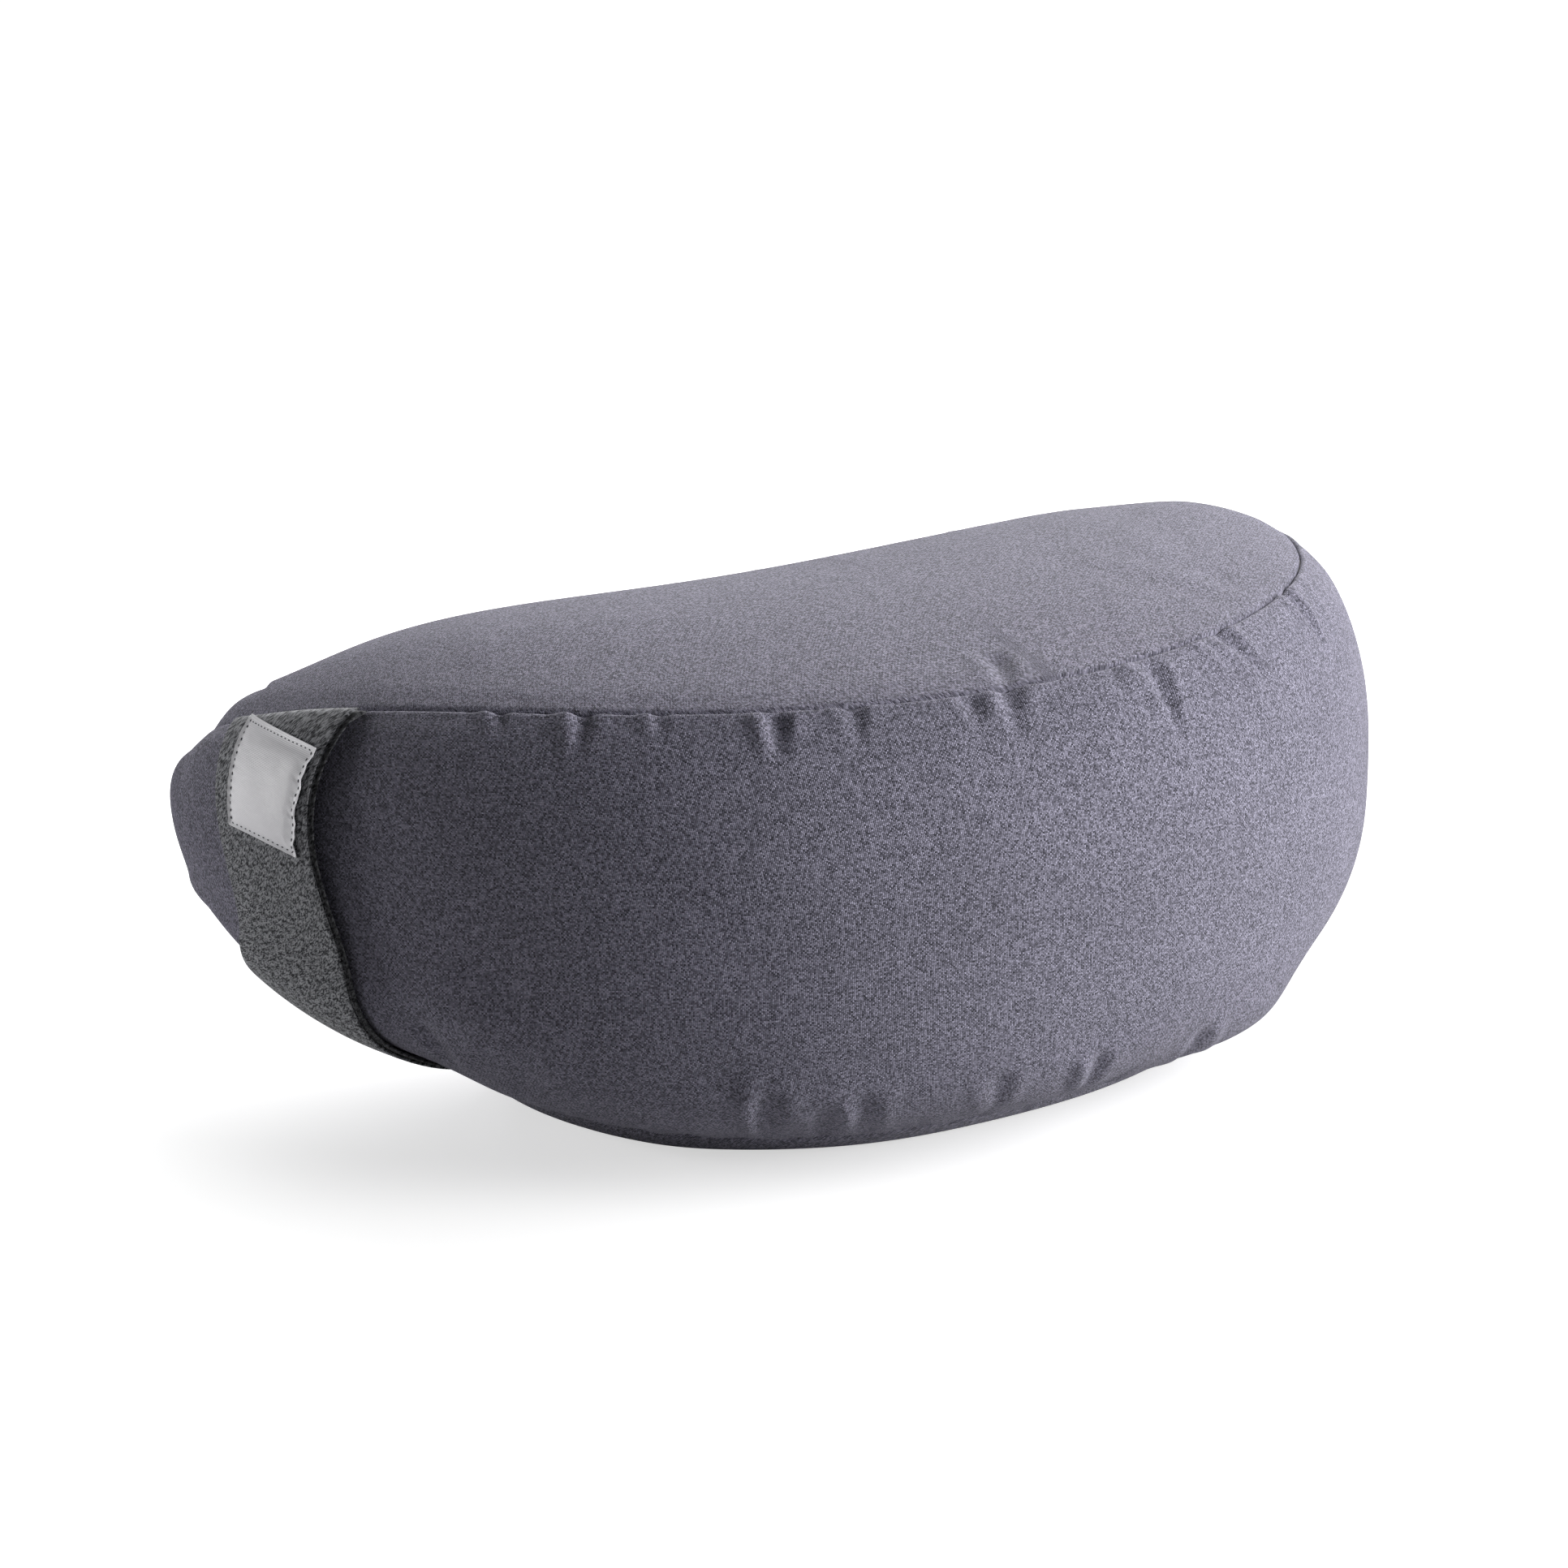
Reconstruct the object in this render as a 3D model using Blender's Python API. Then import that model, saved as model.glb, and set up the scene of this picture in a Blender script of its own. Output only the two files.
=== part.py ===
"""Crescent meditation cushion: canvas cover with a carry strap and a zip, cotton liner, hull filling.

Metres, +Z up. X runs from horn to horn, the rounded front faces -Y and the hollow faces +Y.
The cushion stands on z = 0, and the middle of its bounding box lies over the origin.
"""
import math

import bmesh
import bpy
import numpy as np

# Seam outline of the top panel, seen from above: an outer arc, a hollow arc and round horns
TOP_FRONT_RADIUS = 0.2094
TOP_DEPTH = 0.1572
TOP_HOLLOW_RADIUS = 0.318
TOP_HORN_RADIUS = 0.0125
TOP_CENTRE_Y = 0.1054

# Seam outline of the base panel, which the filling draws in under the horns
BASE_FRONT_RADIUS = 0.1650
BASE_DEPTH = 0.1440
BASE_HOLLOW_RADIUS = 0.3768
BASE_HORN_RADIUS = 0.0390
BASE_CENTRE_Y = 0.0635

# Heights of the two seams, and how they run down and up towards the horns
BASE_SEAM_HEIGHT = 0.0104
SIDE_HEIGHT = 0.1535
HORN_DROP = 0.0557
HORN_DROP_POWER = 4.6
HORN_LIFT = 0.0546
HORN_LIFT_POWER = 5.8

# Fullness of the filled cover
CROWN = 0.0107
CROWN_POWER = 1.62
WALL_BULGE = 0.0296
HORN_BULGE = 0.0251
HORN_SWEEP = 0.100
WIDEST_HEIGHT = 0.0625
WALL_POWER = 2.58
WALL_ROOT = 1.335
BASE_FLAT_SHARE = 0.25
BASE_RISE_POWER = 3.0

# Cloth
CANVAS = 0.0010
LINER_CLOTH = 0.0006
CLEAR = 0.0003
LOOSE_LINER = 0.0005
LOOSE_FILLING = 0.0012

# Zip along the hollow side, on an arc about an upright axis
ZIP_OPENING = 0.012
ZIP_HALF_ANGLE = 0.36
ZIP_ARC_ANGLE = 0.400
ZIP_ARC_RUN = 0.745
TAPE_WIDTH = 0.0125
TAPE_CLOTH = 0.0006
COIL_PITCH = 0.0036
COIL_SHARE = 0.5
COIL_HALF_WIDTH = 0.0027
COIL_SPINE = 0.0010
COIL_SLOT = 0.0011
COIL_THICKNESS = 0.0020
COIL_DEPTH = 0.0002
ZIP_POCKET = 0.0036
STOP_LENGTH = 0.0020

# Slider and pull
SLIDER_LENGTH = 0.0120
SLIDER_PLATE = 0.0010
SLIDER_LIP = 0.0009
SLIDER_TAPER = 0.85
POST_LENGTH = 0.0032
POST_WIDTH = 0.0005
BAIL_LENGTH = 0.0080
BAIL_HEIGHT = 0.0033
BAIL_WIDTH = 0.0024
BAIL_STOCK = 0.0009
PULL_BAR = 0.0012
PULL_LENGTH = 0.0220
PULL_WIDTH = 0.0075
PULL_ARM = 0.0011
PULL_HOLE = 0.0034

# Carry strap over the left horn, and the label sewn to it
STRAP_CLOTH = 0.0011
STRAP_STAND_OFF = 0.0160
STRAP_STAND_RISE = 0.75
STRAP_STAND_FALL = 1.5
STRAP_HEIGHTS = (1.0, 0.6, 0.3, 0.0)
STRAP_HORN_EDGE = (0.858, 0.870, 0.882, 0.945)
STRAP_FRONT_EDGE = (0.676, 0.745, 0.737, 0.800)
STRAP_SEAM_INSET = 0.012
LABEL_CLOTH = 0.0004
LABEL_TOP_HORN_CORNER = (0.175, 0.015)
LABEL_TOP_FRONT_CORNER = (0.860, 0.068)
LABEL_LOW_HORN_CORNER = (0.175, 0.228)
LABEL_LOW_FRONT_CORNER = (0.860, 0.296)

# Mesh steps, shared by the cover, the liner and the filling so that their facets lie side by side
STEPS = 32
ACROSS_STEPS = 6
LOWER_ROWS = 3
UPPER_ROWS = 4
UP = np.array((0.0, 0.0, 1.0))


def smooth_step(x, start, end):
    """Run smoothly from 0 at start to 1 at end."""
    t = min(max((x - start) / (end - start), 0.0), 1.0)
    return t * t * (3.0 - 2.0 * t)


class Crescent:
    """Seam outline of one panel: front arc, hollow arc and a round horn at each end."""

    def __init__(self, front_radius, depth, hollow_radius, horn_radius, centre_y):
        self.front_radius = front_radius
        self.hollow_radius = hollow_radius
        self.horn_radius = horn_radius
        self.centre_y = centre_y
        self.hollow_y = hollow_radius - front_radius + depth
        reach_front = front_radius - horn_radius
        reach_hollow = hollow_radius + horn_radius
        self.horn_y = (reach_front**2 - reach_hollow**2 + self.hollow_y**2) / (2 * self.hollow_y)
        self.horn_x = math.sqrt(reach_front**2 - self.horn_y**2)
        self.front_turn = math.atan2(self.horn_y, self.horn_x)
        self.hollow_turn = math.atan2(self.hollow_y - self.horn_y, -self.horn_x)
        self.tip_turn = (self.front_turn + self.hollow_turn) / 2

    def front(self, share):
        """Point and outward direction at a share of the way from the front's middle to the tip."""
        arc = self.front_radius * (self.front_turn + math.pi / 2)
        horn = self.horn_radius * (self.tip_turn - self.front_turn)
        way = share * (arc + horn)
        if way < arc:
            turn = way / self.front_radius - math.pi / 2
            x = self.front_radius * math.cos(turn)
            y = self.front_radius * math.sin(turn)
        else:
            turn = self.front_turn + (way - arc) / self.horn_radius
            x = self.horn_x + self.horn_radius * math.cos(turn)
            y = self.horn_y + self.horn_radius * math.sin(turn)
        return x, y, math.cos(turn), math.sin(turn)

    def hollow(self, share):
        """Point and outward direction at a share of the way from the hollow's middle to the tip."""
        span = math.atan2(self.horn_y - self.hollow_y, self.horn_x) + math.pi / 2
        arc = self.hollow_radius * span
        horn = self.horn_radius * (self.hollow_turn - self.tip_turn)
        way = share * (arc + horn)
        if way < arc:
            turn = way / self.hollow_radius - math.pi / 2
            x = self.hollow_radius * math.cos(turn)
            y = self.hollow_y + self.hollow_radius * math.sin(turn)
            return x, y, -math.cos(turn), -math.sin(turn)
        turn = self.hollow_turn - (way - arc) / self.horn_radius
        x = self.horn_x + self.horn_radius * math.cos(turn)
        y = self.horn_y + self.horn_radius * math.sin(turn)
        return x, y, math.cos(turn), math.sin(turn)

    def at(self, station):
        """Point and direction at a station: -1 to 1 runs along the front, 1 to 3 back by the hollow."""
        if station <= 1.0:
            side, run = self.front, station
        else:
            side, run = self.hollow, 2.0 - station
        x, y, nx, ny = side(min(abs(run), 1.0))
        sign = -1.0 if run < 0 else 1.0
        point = np.array((sign * x, y + self.centre_y, 0.0))
        return point, np.array((sign * nx, ny, 0.0))


TOP = Crescent(TOP_FRONT_RADIUS, TOP_DEPTH, TOP_HOLLOW_RADIUS, TOP_HORN_RADIUS, TOP_CENTRE_Y)
BASE = Crescent(BASE_FRONT_RADIUS, BASE_DEPTH, BASE_HOLLOW_RADIUS, BASE_HORN_RADIUS, BASE_CENTRE_Y)
WIDEST = WIDEST_HEIGHT / SIDE_HEIGHT
TAPE_REACH = COIL_HALF_WIDTH + CLEAR + TAPE_WIDTH
ZIP_CENTRE_Y = TOP.hollow_y + TOP_CENTRE_Y
ZIP_HEIGHT = BASE_SEAM_HEIGHT + WIDEST_HEIGHT


def run_of(station):
    """Share of the way from the middle to a horn, the same on the front and on the hollow side."""
    return abs(station) if station <= 1.0 else abs(2.0 - station)


def top_seam_z(run):
    return BASE_SEAM_HEIGHT + SIDE_HEIGHT - HORN_DROP * run**HORN_DROP_POWER


def base_seam_z(run):
    return BASE_SEAM_HEIGHT + HORN_LIFT * run**HORN_LIFT_POWER


def share_at(station, offset):
    """Height share of the side at an upright offset from the zip's centre line."""
    run = run_of(station)
    return WIDEST + offset / (top_seam_z(run) - base_seam_z(run))


def tape_share(station):
    """Height share that the zip tape reaches over, kept clear of the seams at the low horns."""
    run = run_of(station)
    return TAPE_REACH / max(top_seam_z(run) - base_seam_z(run), 6.0 * TAPE_REACH)


def upright_at(station):
    """Plan point of a straight wall between the two seams, at the height of the widest place."""
    return BASE.at(station)[0] * (1.0 - WIDEST) + TOP.at(station)[0] * WIDEST


ZIP_RADIUS = ZIP_CENTRE_Y - upright_at(2.0)[1] - WALL_BULGE


def front_widest(run):
    return upright_at(run) + TOP.at(run)[1] * (WALL_BULGE + HORN_BULGE * run * run)


def hollow_widest(run):
    """Plan point of the widest line of the hollow side: the zip's arc, then a sweep to the horn."""
    angle = ZIP_ARC_ANGLE * min(abs(run) / ZIP_ARC_RUN, 1.0)
    along = np.array((math.cos(angle), math.sin(angle), 0.0))
    point = np.array((ZIP_RADIUS * along[1], ZIP_CENTRE_Y - ZIP_RADIUS * along[0], 0.0))
    if abs(run) > ZIP_ARC_RUN:
        rest = 1.0 - ZIP_ARC_RUN
        s = (abs(run) - ZIP_ARC_RUN) / rest
        leave = along * (ZIP_RADIUS * ZIP_ARC_ANGLE / ZIP_ARC_RUN * rest)
        out = TOP.at(1.0)[1]
        arrive = np.array((out[1], -out[0], 0.0)) * HORN_SWEEP
        point = (point * (2 * s**3 - 3 * s**2 + 1) + leave * (s**3 - 2 * s**2 + s)
                 + front_widest(1.0) * (3 * s**2 - 2 * s**3) + arrive * (s**3 - s**2))
    point[0] = math.copysign(point[0], run)
    return point


def side_point(station, height):
    """Point of the outer face of the filled side; height 0 is the base seam, 1 the top seam."""
    run = run_of(station)
    top, _ = TOP.at(station)
    base, _ = BASE.at(station)
    upright = upright_at(station)
    if height >= WIDEST:
        q = (height - WIDEST) / (1.0 - WIDEST)
        lean = top - upright
    else:
        q = (WIDEST - height) / WIDEST
        lean = base - upright
    widest = front_widest(station) if station <= 1.0 else hollow_widest(2.0 - station)
    swell = max(1.0 - q**WALL_POWER, 0.0) ** (1.0 / WALL_ROOT)
    point = upright + lean * q * q + (widest - upright) * swell
    point[2] = base_seam_z(run) * (1.0 - height) + top_seam_z(run) * height
    if station > 1.0:
        sag = base_seam_z(run) * (1.0 - WIDEST) + top_seam_z(run) * WIDEST - ZIP_HEIGHT
        point[2] -= sag * (1.0 - smooth_step(run, ZIP_ARC_RUN, 1.0)) * (1.0 - q * q) ** 2
    return point


def round_ring(station):
    """Bring a station that runs past the left horn back onto the ring of stations."""
    return (station + 1.0) % 4.0 - 1.0


def side_frame(station, height):
    """Unit direction along the side and unit outward direction at a point of the side."""
    step = 1e-4
    before = side_point(round_ring(station - step), height)
    after = side_point(round_ring(station + step), height)
    along = after - before
    along[2] = 0.0
    along /= np.linalg.norm(along)
    if height > 1.0 - 1e-9:
        return along, UP
    if height < 1e-9:
        return along, -UP
    rise = side_point(station, min(height + step, 1.0)) - side_point(station, max(height - step, 0.0))
    out = np.cross(after - before, rise)
    return along, out / np.linalg.norm(out)


def side_skin(station, height, depth, nudge=0.0):
    """Point at a depth under the side's outer face, nudged along the side by a small length."""
    along, out = side_frame(station, height)
    return side_point(station, height) - out * depth + along * nudge


def rims(outline, run):
    """Rims of a panel on the front and on the hollow side, half a clearance inside the seam line."""
    for station in (run, 2.0 - run):
        point, out = outline.at(station)
        yield point - out * CLEAR / 2


def top_point(run, across):
    """Point of the top face. across is 0 at the front seam and 1 at the hollow seam."""
    front, hollow = rims(TOP, run)
    width = min(np.linalg.norm(front - hollow) / TOP_DEPTH, 1.0)
    point = front * (1.0 - across) + hollow * across
    dome = 1.0 - abs(2.0 * across - 1.0) ** CROWN_POWER
    point[2] = top_seam_z(abs(run)) + CROWN * width**0.8 * dome
    return point


def base_point(run, across):
    """Point of the base face: flat on the floor in its middle, rising to the base seam."""
    front, hollow = rims(BASE, run)
    point = front * (1.0 - across) + hollow * across
    edge = 1.0 - (1.0 - abs(2.0 * across - 1.0) ** 4) * (1.0 - abs(run) ** BASE_RISE_POWER)
    lift = max((edge - BASE_FLAT_SHARE) / (1.0 - BASE_FLAT_SHARE), 0.0) ** 1.5
    point[2] = base_seam_z(abs(run)) * lift
    return point


def even_to_tips(count, start=-1.0, end=1.0):
    """Stations from start to end that crowd towards both ends, where the horns turn."""
    turns = (math.pi * i / count for i in range(count + 1))
    return [start + (end - start) * (1.0 - math.cos(turn)) / 2 for turn in turns]


def rows_between(low, high, count):
    """Heights on the side between two shares, closer together near the seams."""
    def turn_of(height):
        if height >= WIDEST:
            return math.asin(min((height - WIDEST) / (1.0 - WIDEST), 1.0))
        return -math.asin(min((WIDEST - height) / WIDEST, 1.0))

    def height_of(turn):
        if turn >= 0:
            return WIDEST + (1.0 - WIDEST) * math.sin(turn)
        return WIDEST + WIDEST * math.sin(turn)

    first, last = turn_of(low), turn_of(high)
    return [height_of(first + (last - first) * i / count) for i in range(count + 1)]


def lower_rows(station):
    """Heights of the rows from the base seam to the lower edge of the zip tape."""
    return rows_between(0.0, WIDEST - tape_share(station), LOWER_ROWS)


def upper_rows(station):
    """Heights of the rows from the upper edge of the zip tape to the top seam."""
    return rows_between(WIDEST + tape_share(station), 1.0, UPPER_ROWS)


def side_rows(station):
    """Heights of the rows of a whole side, with one row at the widest place."""
    return lower_rows(station) + [WIDEST] + upper_rows(station)


def material(name, colour, roughness, metallic=0.0):
    made = bpy.data.materials.new(name)
    made.use_nodes = True
    shader = made.node_tree.nodes["Principled BSDF"]
    shader.inputs["Base Color"].default_value = (*colour, 1.0)
    shader.inputs["Roughness"].default_value = roughness
    shader.inputs["Metallic"].default_value = metallic
    return made


def finish(name, mesh_data, look, smooth=True):
    """Turn a bmesh into a named object with one material and its faces pointing out."""
    bmesh.ops.remove_doubles(mesh_data, verts=mesh_data.verts, dist=1e-7)
    bmesh.ops.dissolve_degenerate(mesh_data, edges=mesh_data.edges, dist=1e-8)
    bmesh.ops.recalc_face_normals(mesh_data, faces=mesh_data.faces)
    mesh = bpy.data.meshes.new(name)
    mesh_data.to_mesh(mesh)
    mesh_data.free()
    mesh.materials.append(look)
    if smooth:
        mesh.shade_smooth()
        mesh.set_sharp_from_angle(angle=math.radians(40))
    made = bpy.data.objects.new(name, mesh)
    bpy.context.scene.collection.objects.link(made)
    return made


def quad(mesh_data, a, b, c, d):
    """Two triangles with a fixed diagonal, so that layers with like grids stay parallel."""
    mesh_data.faces.new((a, b, c))
    mesh_data.faces.new((a, c, d))


def close_sheets(mesh_data, upper, lower):
    """Join two like grids of points into one closed solid with a rim round it."""
    def vertices(grid):
        return [[mesh_data.verts.new(point) for point in row] for row in grid]

    above, below = vertices(upper), vertices(lower)
    rows, columns = len(upper), len(upper[0])
    for i in range(rows - 1):
        for j in range(columns - 1):
            for grid in (above, below):
                quad(mesh_data, grid[i][j], grid[i + 1][j], grid[i + 1][j + 1], grid[i][j + 1])
    border = [(i, 0) for i in range(rows)]
    border += [(rows - 1, j) for j in range(1, columns)]
    border += [(i, columns - 1) for i in range(rows - 2, -1, -1)]
    border += [(0, j) for j in range(columns - 2, 0, -1)]
    for k, (i, j) in enumerate(border):
        m, n = border[(k + 1) % len(border)]
        quad(mesh_data, above[i][j], above[m][n], below[m][n], below[i][j])


def crescent_sheet(place):
    """Points of a crescent face: the tip, the rows between, the other tip."""
    runs = even_to_tips(STEPS)
    shares = [j / ACROSS_STEPS for j in range(ACROSS_STEPS + 1)]
    inner = [[place(run, across) for across in shares] for run in runs[1:-1]]
    return place(runs[0], 0.5), inner, place(runs[-1], 0.5)


def crescent_faces(mesh_data, sheet):
    """Make the faces of a crescent and return its border, tip to tip along the front and back."""
    first, rows, last = sheet
    left, right = mesh_data.verts.new(first), mesh_data.verts.new(last)
    grid = [[mesh_data.verts.new(point) for point in row] for row in rows]
    for i in range(len(grid) - 1):
        for j in range(len(grid[0]) - 1):
            quad(mesh_data, grid[i][j], grid[i + 1][j], grid[i + 1][j + 1], grid[i][j + 1])
    for j in range(len(grid[0]) - 1):
        mesh_data.faces.new((left, grid[0][j], grid[0][j + 1]))
        mesh_data.faces.new((right, grid[-1][j + 1], grid[-1][j]))
    front = [row[0] for row in grid]
    hollow = [row[-1] for row in reversed(grid)]
    return [left] + front + [right] + hollow


def bridge(mesh_data, border_a, border_b):
    for i in range(len(border_a)):
        j = (i + 1) % len(border_a)
        quad(mesh_data, border_a[i], border_a[j], border_b[j], border_b[i])


def flat_panel(name, place, depth, cloth, inward, look):
    """A top or base panel: a sheet of cloth at a depth under the face that place gives."""
    mesh_data = bmesh.new()
    borders = []
    for level in (depth, depth + cloth):
        def sunk(run, across):
            return place(run, across) + inward * level
        borders.append(crescent_faces(mesh_data, crescent_sheet(sunk)))
    bridge(mesh_data, *borders)
    return finish(name, mesh_data, look)


def side_panel(name, stations, rows, depth, cloth, look, pocket=None):
    """A strip of the side between given stations and rows, at a depth under its outer face."""
    mesh_data = bmesh.new()
    sheets = []
    last = len(stations) - 1
    for level in (depth, depth + cloth):
        sheet = []
        for i, station in enumerate(stations):
            nudge = {0: CLEAR / 2, last: -CLEAR / 2}.get(i, 0.0)
            column = []
            for height in rows(station):
                extra = pocket(station, height) if pocket else 0.0
                point = side_skin(station, height, level + extra, nudge)
                if height > 1.0 - 1e-9:
                    point += TOP.at(station)[1] * CLEAR / 2
                if height < 1e-9:
                    point += BASE.at(station)[1] * CLEAR / 2
                column.append(point)
            sheet.append(column)
        sheets.append(sheet)
    close_sheets(mesh_data, *sheets)
    return finish(name, mesh_data, look)


def zip_station(angle):
    """Station on the hollow side at an angle from the zip's middle."""
    return 2.0 - angle * ZIP_ARC_RUN / ZIP_ARC_ANGLE


ZIP_RUN = run_of(zip_station(ZIP_HALF_ANGLE))


def opening_half(station):
    """Half of the slot between the two hollow-side panels: open at the zip, shut beyond it."""
    shut = smooth_step(run_of(station), ZIP_RUN + 0.005, ZIP_RUN + 0.045)
    return ZIP_OPENING / 2 * (1.0 - shut) + CLEAR / 2 * shut


def pocket_for_zip(station, height):
    """Extra depth of the liner and the filling on the hollow side, deepest behind the zip."""
    if station <= 1.0:
        return 0.0
    run = run_of(station)
    q = (height - WIDEST) / (1.0 - WIDEST) if height >= WIDEST else (WIDEST - height) / WIDEST
    behind_zip = 1.0 - smooth_step(run, ZIP_ARC_RUN, 0.95)
    depth = LOOSE_LINER * (1.0 - run**12) + (ZIP_POCKET - LOOSE_LINER) * behind_zip
    return depth * (1.0 - q**6)


def cover_panels(canvas):
    """Outer cover: top, base, front and the two halves of the hollow side."""
    flat_panel("top_panel", top_point, 0.0, CANVAS, -UP, canvas)
    flat_panel("base_panel", base_point, 0.0, CANVAS, UP, canvas)
    side_panel("front_panel", even_to_tips(STEPS), side_rows, 0.0, CANVAS, canvas)
    back = even_to_tips(STEPS, 1.0, 3.0)

    def upper(station):
        return [share_at(station, opening_half(station))] + upper_rows(station)

    def lower(station):
        return lower_rows(station) + [share_at(station, -opening_half(station))]

    side_panel("back_panel_upper", back, upper, 0.0, CANVAS, canvas)
    side_panel("back_panel_lower", back, lower, 0.0, CANVAS, canvas)


def liner_and_filling(cotton, hulls):
    """Inner bag of plain cotton, and the hull filling as one body."""
    depth = CANVAS + CLEAR
    flat_panel("liner_top", top_point, depth, LINER_CLOTH, -UP, cotton)
    flat_panel("liner_base", base_point, depth, LINER_CLOTH, UP, cotton)
    side_panel("liner_front", even_to_tips(STEPS), side_rows, depth, LINER_CLOTH, cotton)
    back = even_to_tips(STEPS, 1.0, 3.0)
    side_panel("liner_back", back, side_rows, depth, LINER_CLOTH, cotton, pocket_for_zip)

    sunk = depth + LINER_CLOTH + LOOSE_FILLING
    mesh_data = bmesh.new()
    rings = []
    loop = even_to_tips(STEPS)[:-1] + back[:-1]
    rings.append(crescent_faces(mesh_data, crescent_sheet(
        lambda run, across: top_point(run, across) - UP * sunk)))
    heights = [side_rows(station) for station in loop]
    for k in range(len(heights[0]) - 2, 0, -1):
        ring = [side_skin(g, rows[k], sunk + pocket_for_zip(g, rows[k])) for g, rows in zip(loop, heights)]
        rings.append([mesh_data.verts.new(point) for point in ring])
    rings.append(crescent_faces(mesh_data, crescent_sheet(
        lambda run, across: base_point(run, across) + UP * sunk)))
    for above, below in zip(rings, rings[1:]):
        bridge(mesh_data, below, above)
    finish("hull_fill", mesh_data, hulls)


def strap_edge(height, runs):
    """Run of a strap edge at a height: a smooth curve through its places at STRAP_HEIGHTS."""
    total = 0.0
    for run, own in zip(runs, STRAP_HEIGHTS):
        others = [other for other in STRAP_HEIGHTS if other != own]
        total += run * math.prod((height - other) / (own - other) for other in others)
    return total


def strap_point(across, down, depth):
    """Point of the strap. across runs from its horn side to its front side, down from 0 to 1."""
    height = 1.0 - STRAP_SEAM_INSET - down * (1.0 - 2.0 * STRAP_SEAM_INSET)
    from_run, to_run = strap_edge(height, STRAP_HORN_EDGE), strap_edge(height, STRAP_FRONT_EDGE)
    station = -(from_run * (1.0 - across) + to_run * across)
    lift = math.sin(math.pi * down**STRAP_STAND_RISE) * (1.0 - down) ** STRAP_STAND_FALL
    stand = STRAP_STAND_OFF * across**1.3 * lift
    return side_skin(station, height, depth - 2 * CLEAR - stand)


def carry_strap(heather, satin):
    """Two plies of the carry strap, sewn in at both seams, and the label on its outer ply."""
    across = [j / 7 for j in range(8)]
    down = [(1.0 - math.cos(math.pi * i / 16)) / 2 for i in range(17)]

    def ply(depth):
        return [[strap_point(a, d, depth) for a in across] for d in down]

    faces = (("carry_strap_lining", 0.0), ("carry_strap_face", -(STRAP_CLOTH + CLEAR)))
    for name, depth in faces:
        mesh_data = bmesh.new()
        close_sheets(mesh_data, ply(depth - STRAP_CLOTH), ply(depth))
        finish(name, mesh_data, heather)

    base = -(2 * STRAP_CLOTH + 2 * CLEAR)
    steps = [i / 8 for i in range(9)]

    def patch(depth):
        rows = []
        for i in steps:
            start = np.add(np.multiply(LABEL_TOP_HORN_CORNER, 1.0 - i), np.multiply(LABEL_LOW_HORN_CORNER, i))
            end = np.add(np.multiply(LABEL_TOP_FRONT_CORNER, 1.0 - i), np.multiply(LABEL_LOW_FRONT_CORNER, i))
            rows.append([strap_point(*(start + (end - start) * j), depth) for j in steps])
        return rows

    mesh_data = bmesh.new()
    close_sheets(mesh_data, patch(base - LABEL_CLOTH), patch(base))
    finish("label_patch", mesh_data, satin)


def on_zip(angle, offset, depth):
    """Point by its angle along the zip, its height over the centre line and its depth."""
    radius = ZIP_RADIUS + depth
    return np.array((radius * math.sin(angle), ZIP_CENTRE_Y - radius * math.cos(angle),
                     ZIP_HEIGHT + offset))


def zip_block(mesh_data, angles, offsets, depths):
    """A block between two angles, two heights and two depths on the zip's arc."""
    corners = [[[mesh_data.verts.new(on_zip(a, o, d)) for d in depths] for o in offsets] for a in angles]
    for k in (0, 1):
        mesh_data.faces.new((corners[k][0][0], corners[k][0][1], corners[k][1][1], corners[k][1][0]))
        mesh_data.faces.new((corners[0][k][0], corners[1][k][0], corners[1][k][1], corners[0][k][1]))
        mesh_data.faces.new((corners[0][0][k], corners[1][0][k], corners[1][1][k], corners[0][1][k]))


def coil_row(name, sign, first, count, look):
    """One row of the zip: a spine with teeth that point at the centre line."""
    pitch = COIL_PITCH / ZIP_RADIUS
    tooth = pitch * COIL_SHARE
    depths = (COIL_DEPTH, COIL_DEPTH + COIL_THICKNESS)
    edge = sign * COIL_HALF_WIDTH
    root = sign * (COIL_HALF_WIDTH - COIL_SPINE)
    tip = sign * COIL_SLOT / 2
    angles = []
    for i in range(count):
        angles += [first + i * pitch, first + i * pitch + tooth]
    mesh_data = bmesh.new()
    columns = []
    for angle in angles:
        columns.append([[mesh_data.verts.new(on_zip(angle, o, d)) for d in depths]
                        for o in (edge, root, tip)])
    for i in range(len(columns) - 1):
        here, there = columns[i], columns[i + 1]
        faces = [(here[0][0], there[0][0], there[0][1], here[0][1])]
        faces += [(here[0][k], there[0][k], there[1][k], here[1][k]) for k in (0, 1)]
        if i % 2 == 0:
            faces += [(here[1][k], there[1][k], there[2][k], here[2][k]) for k in (0, 1)]
            faces.append((here[2][0], there[2][0], there[2][1], here[2][1]))
        else:
            faces.append((here[1][0], there[1][0], there[1][1], here[1][1]))
        for face in faces:
            mesh_data.faces.new(face)
    for column in columns:
        mesh_data.faces.new((column[1][0], column[1][1], column[2][1], column[2][0]))
    for column in (columns[0], columns[-1]):
        mesh_data.faces.new((column[0][0], column[0][1], column[1][1], column[1][0]))
    return finish(name, mesh_data, look, smooth=False)


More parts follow.
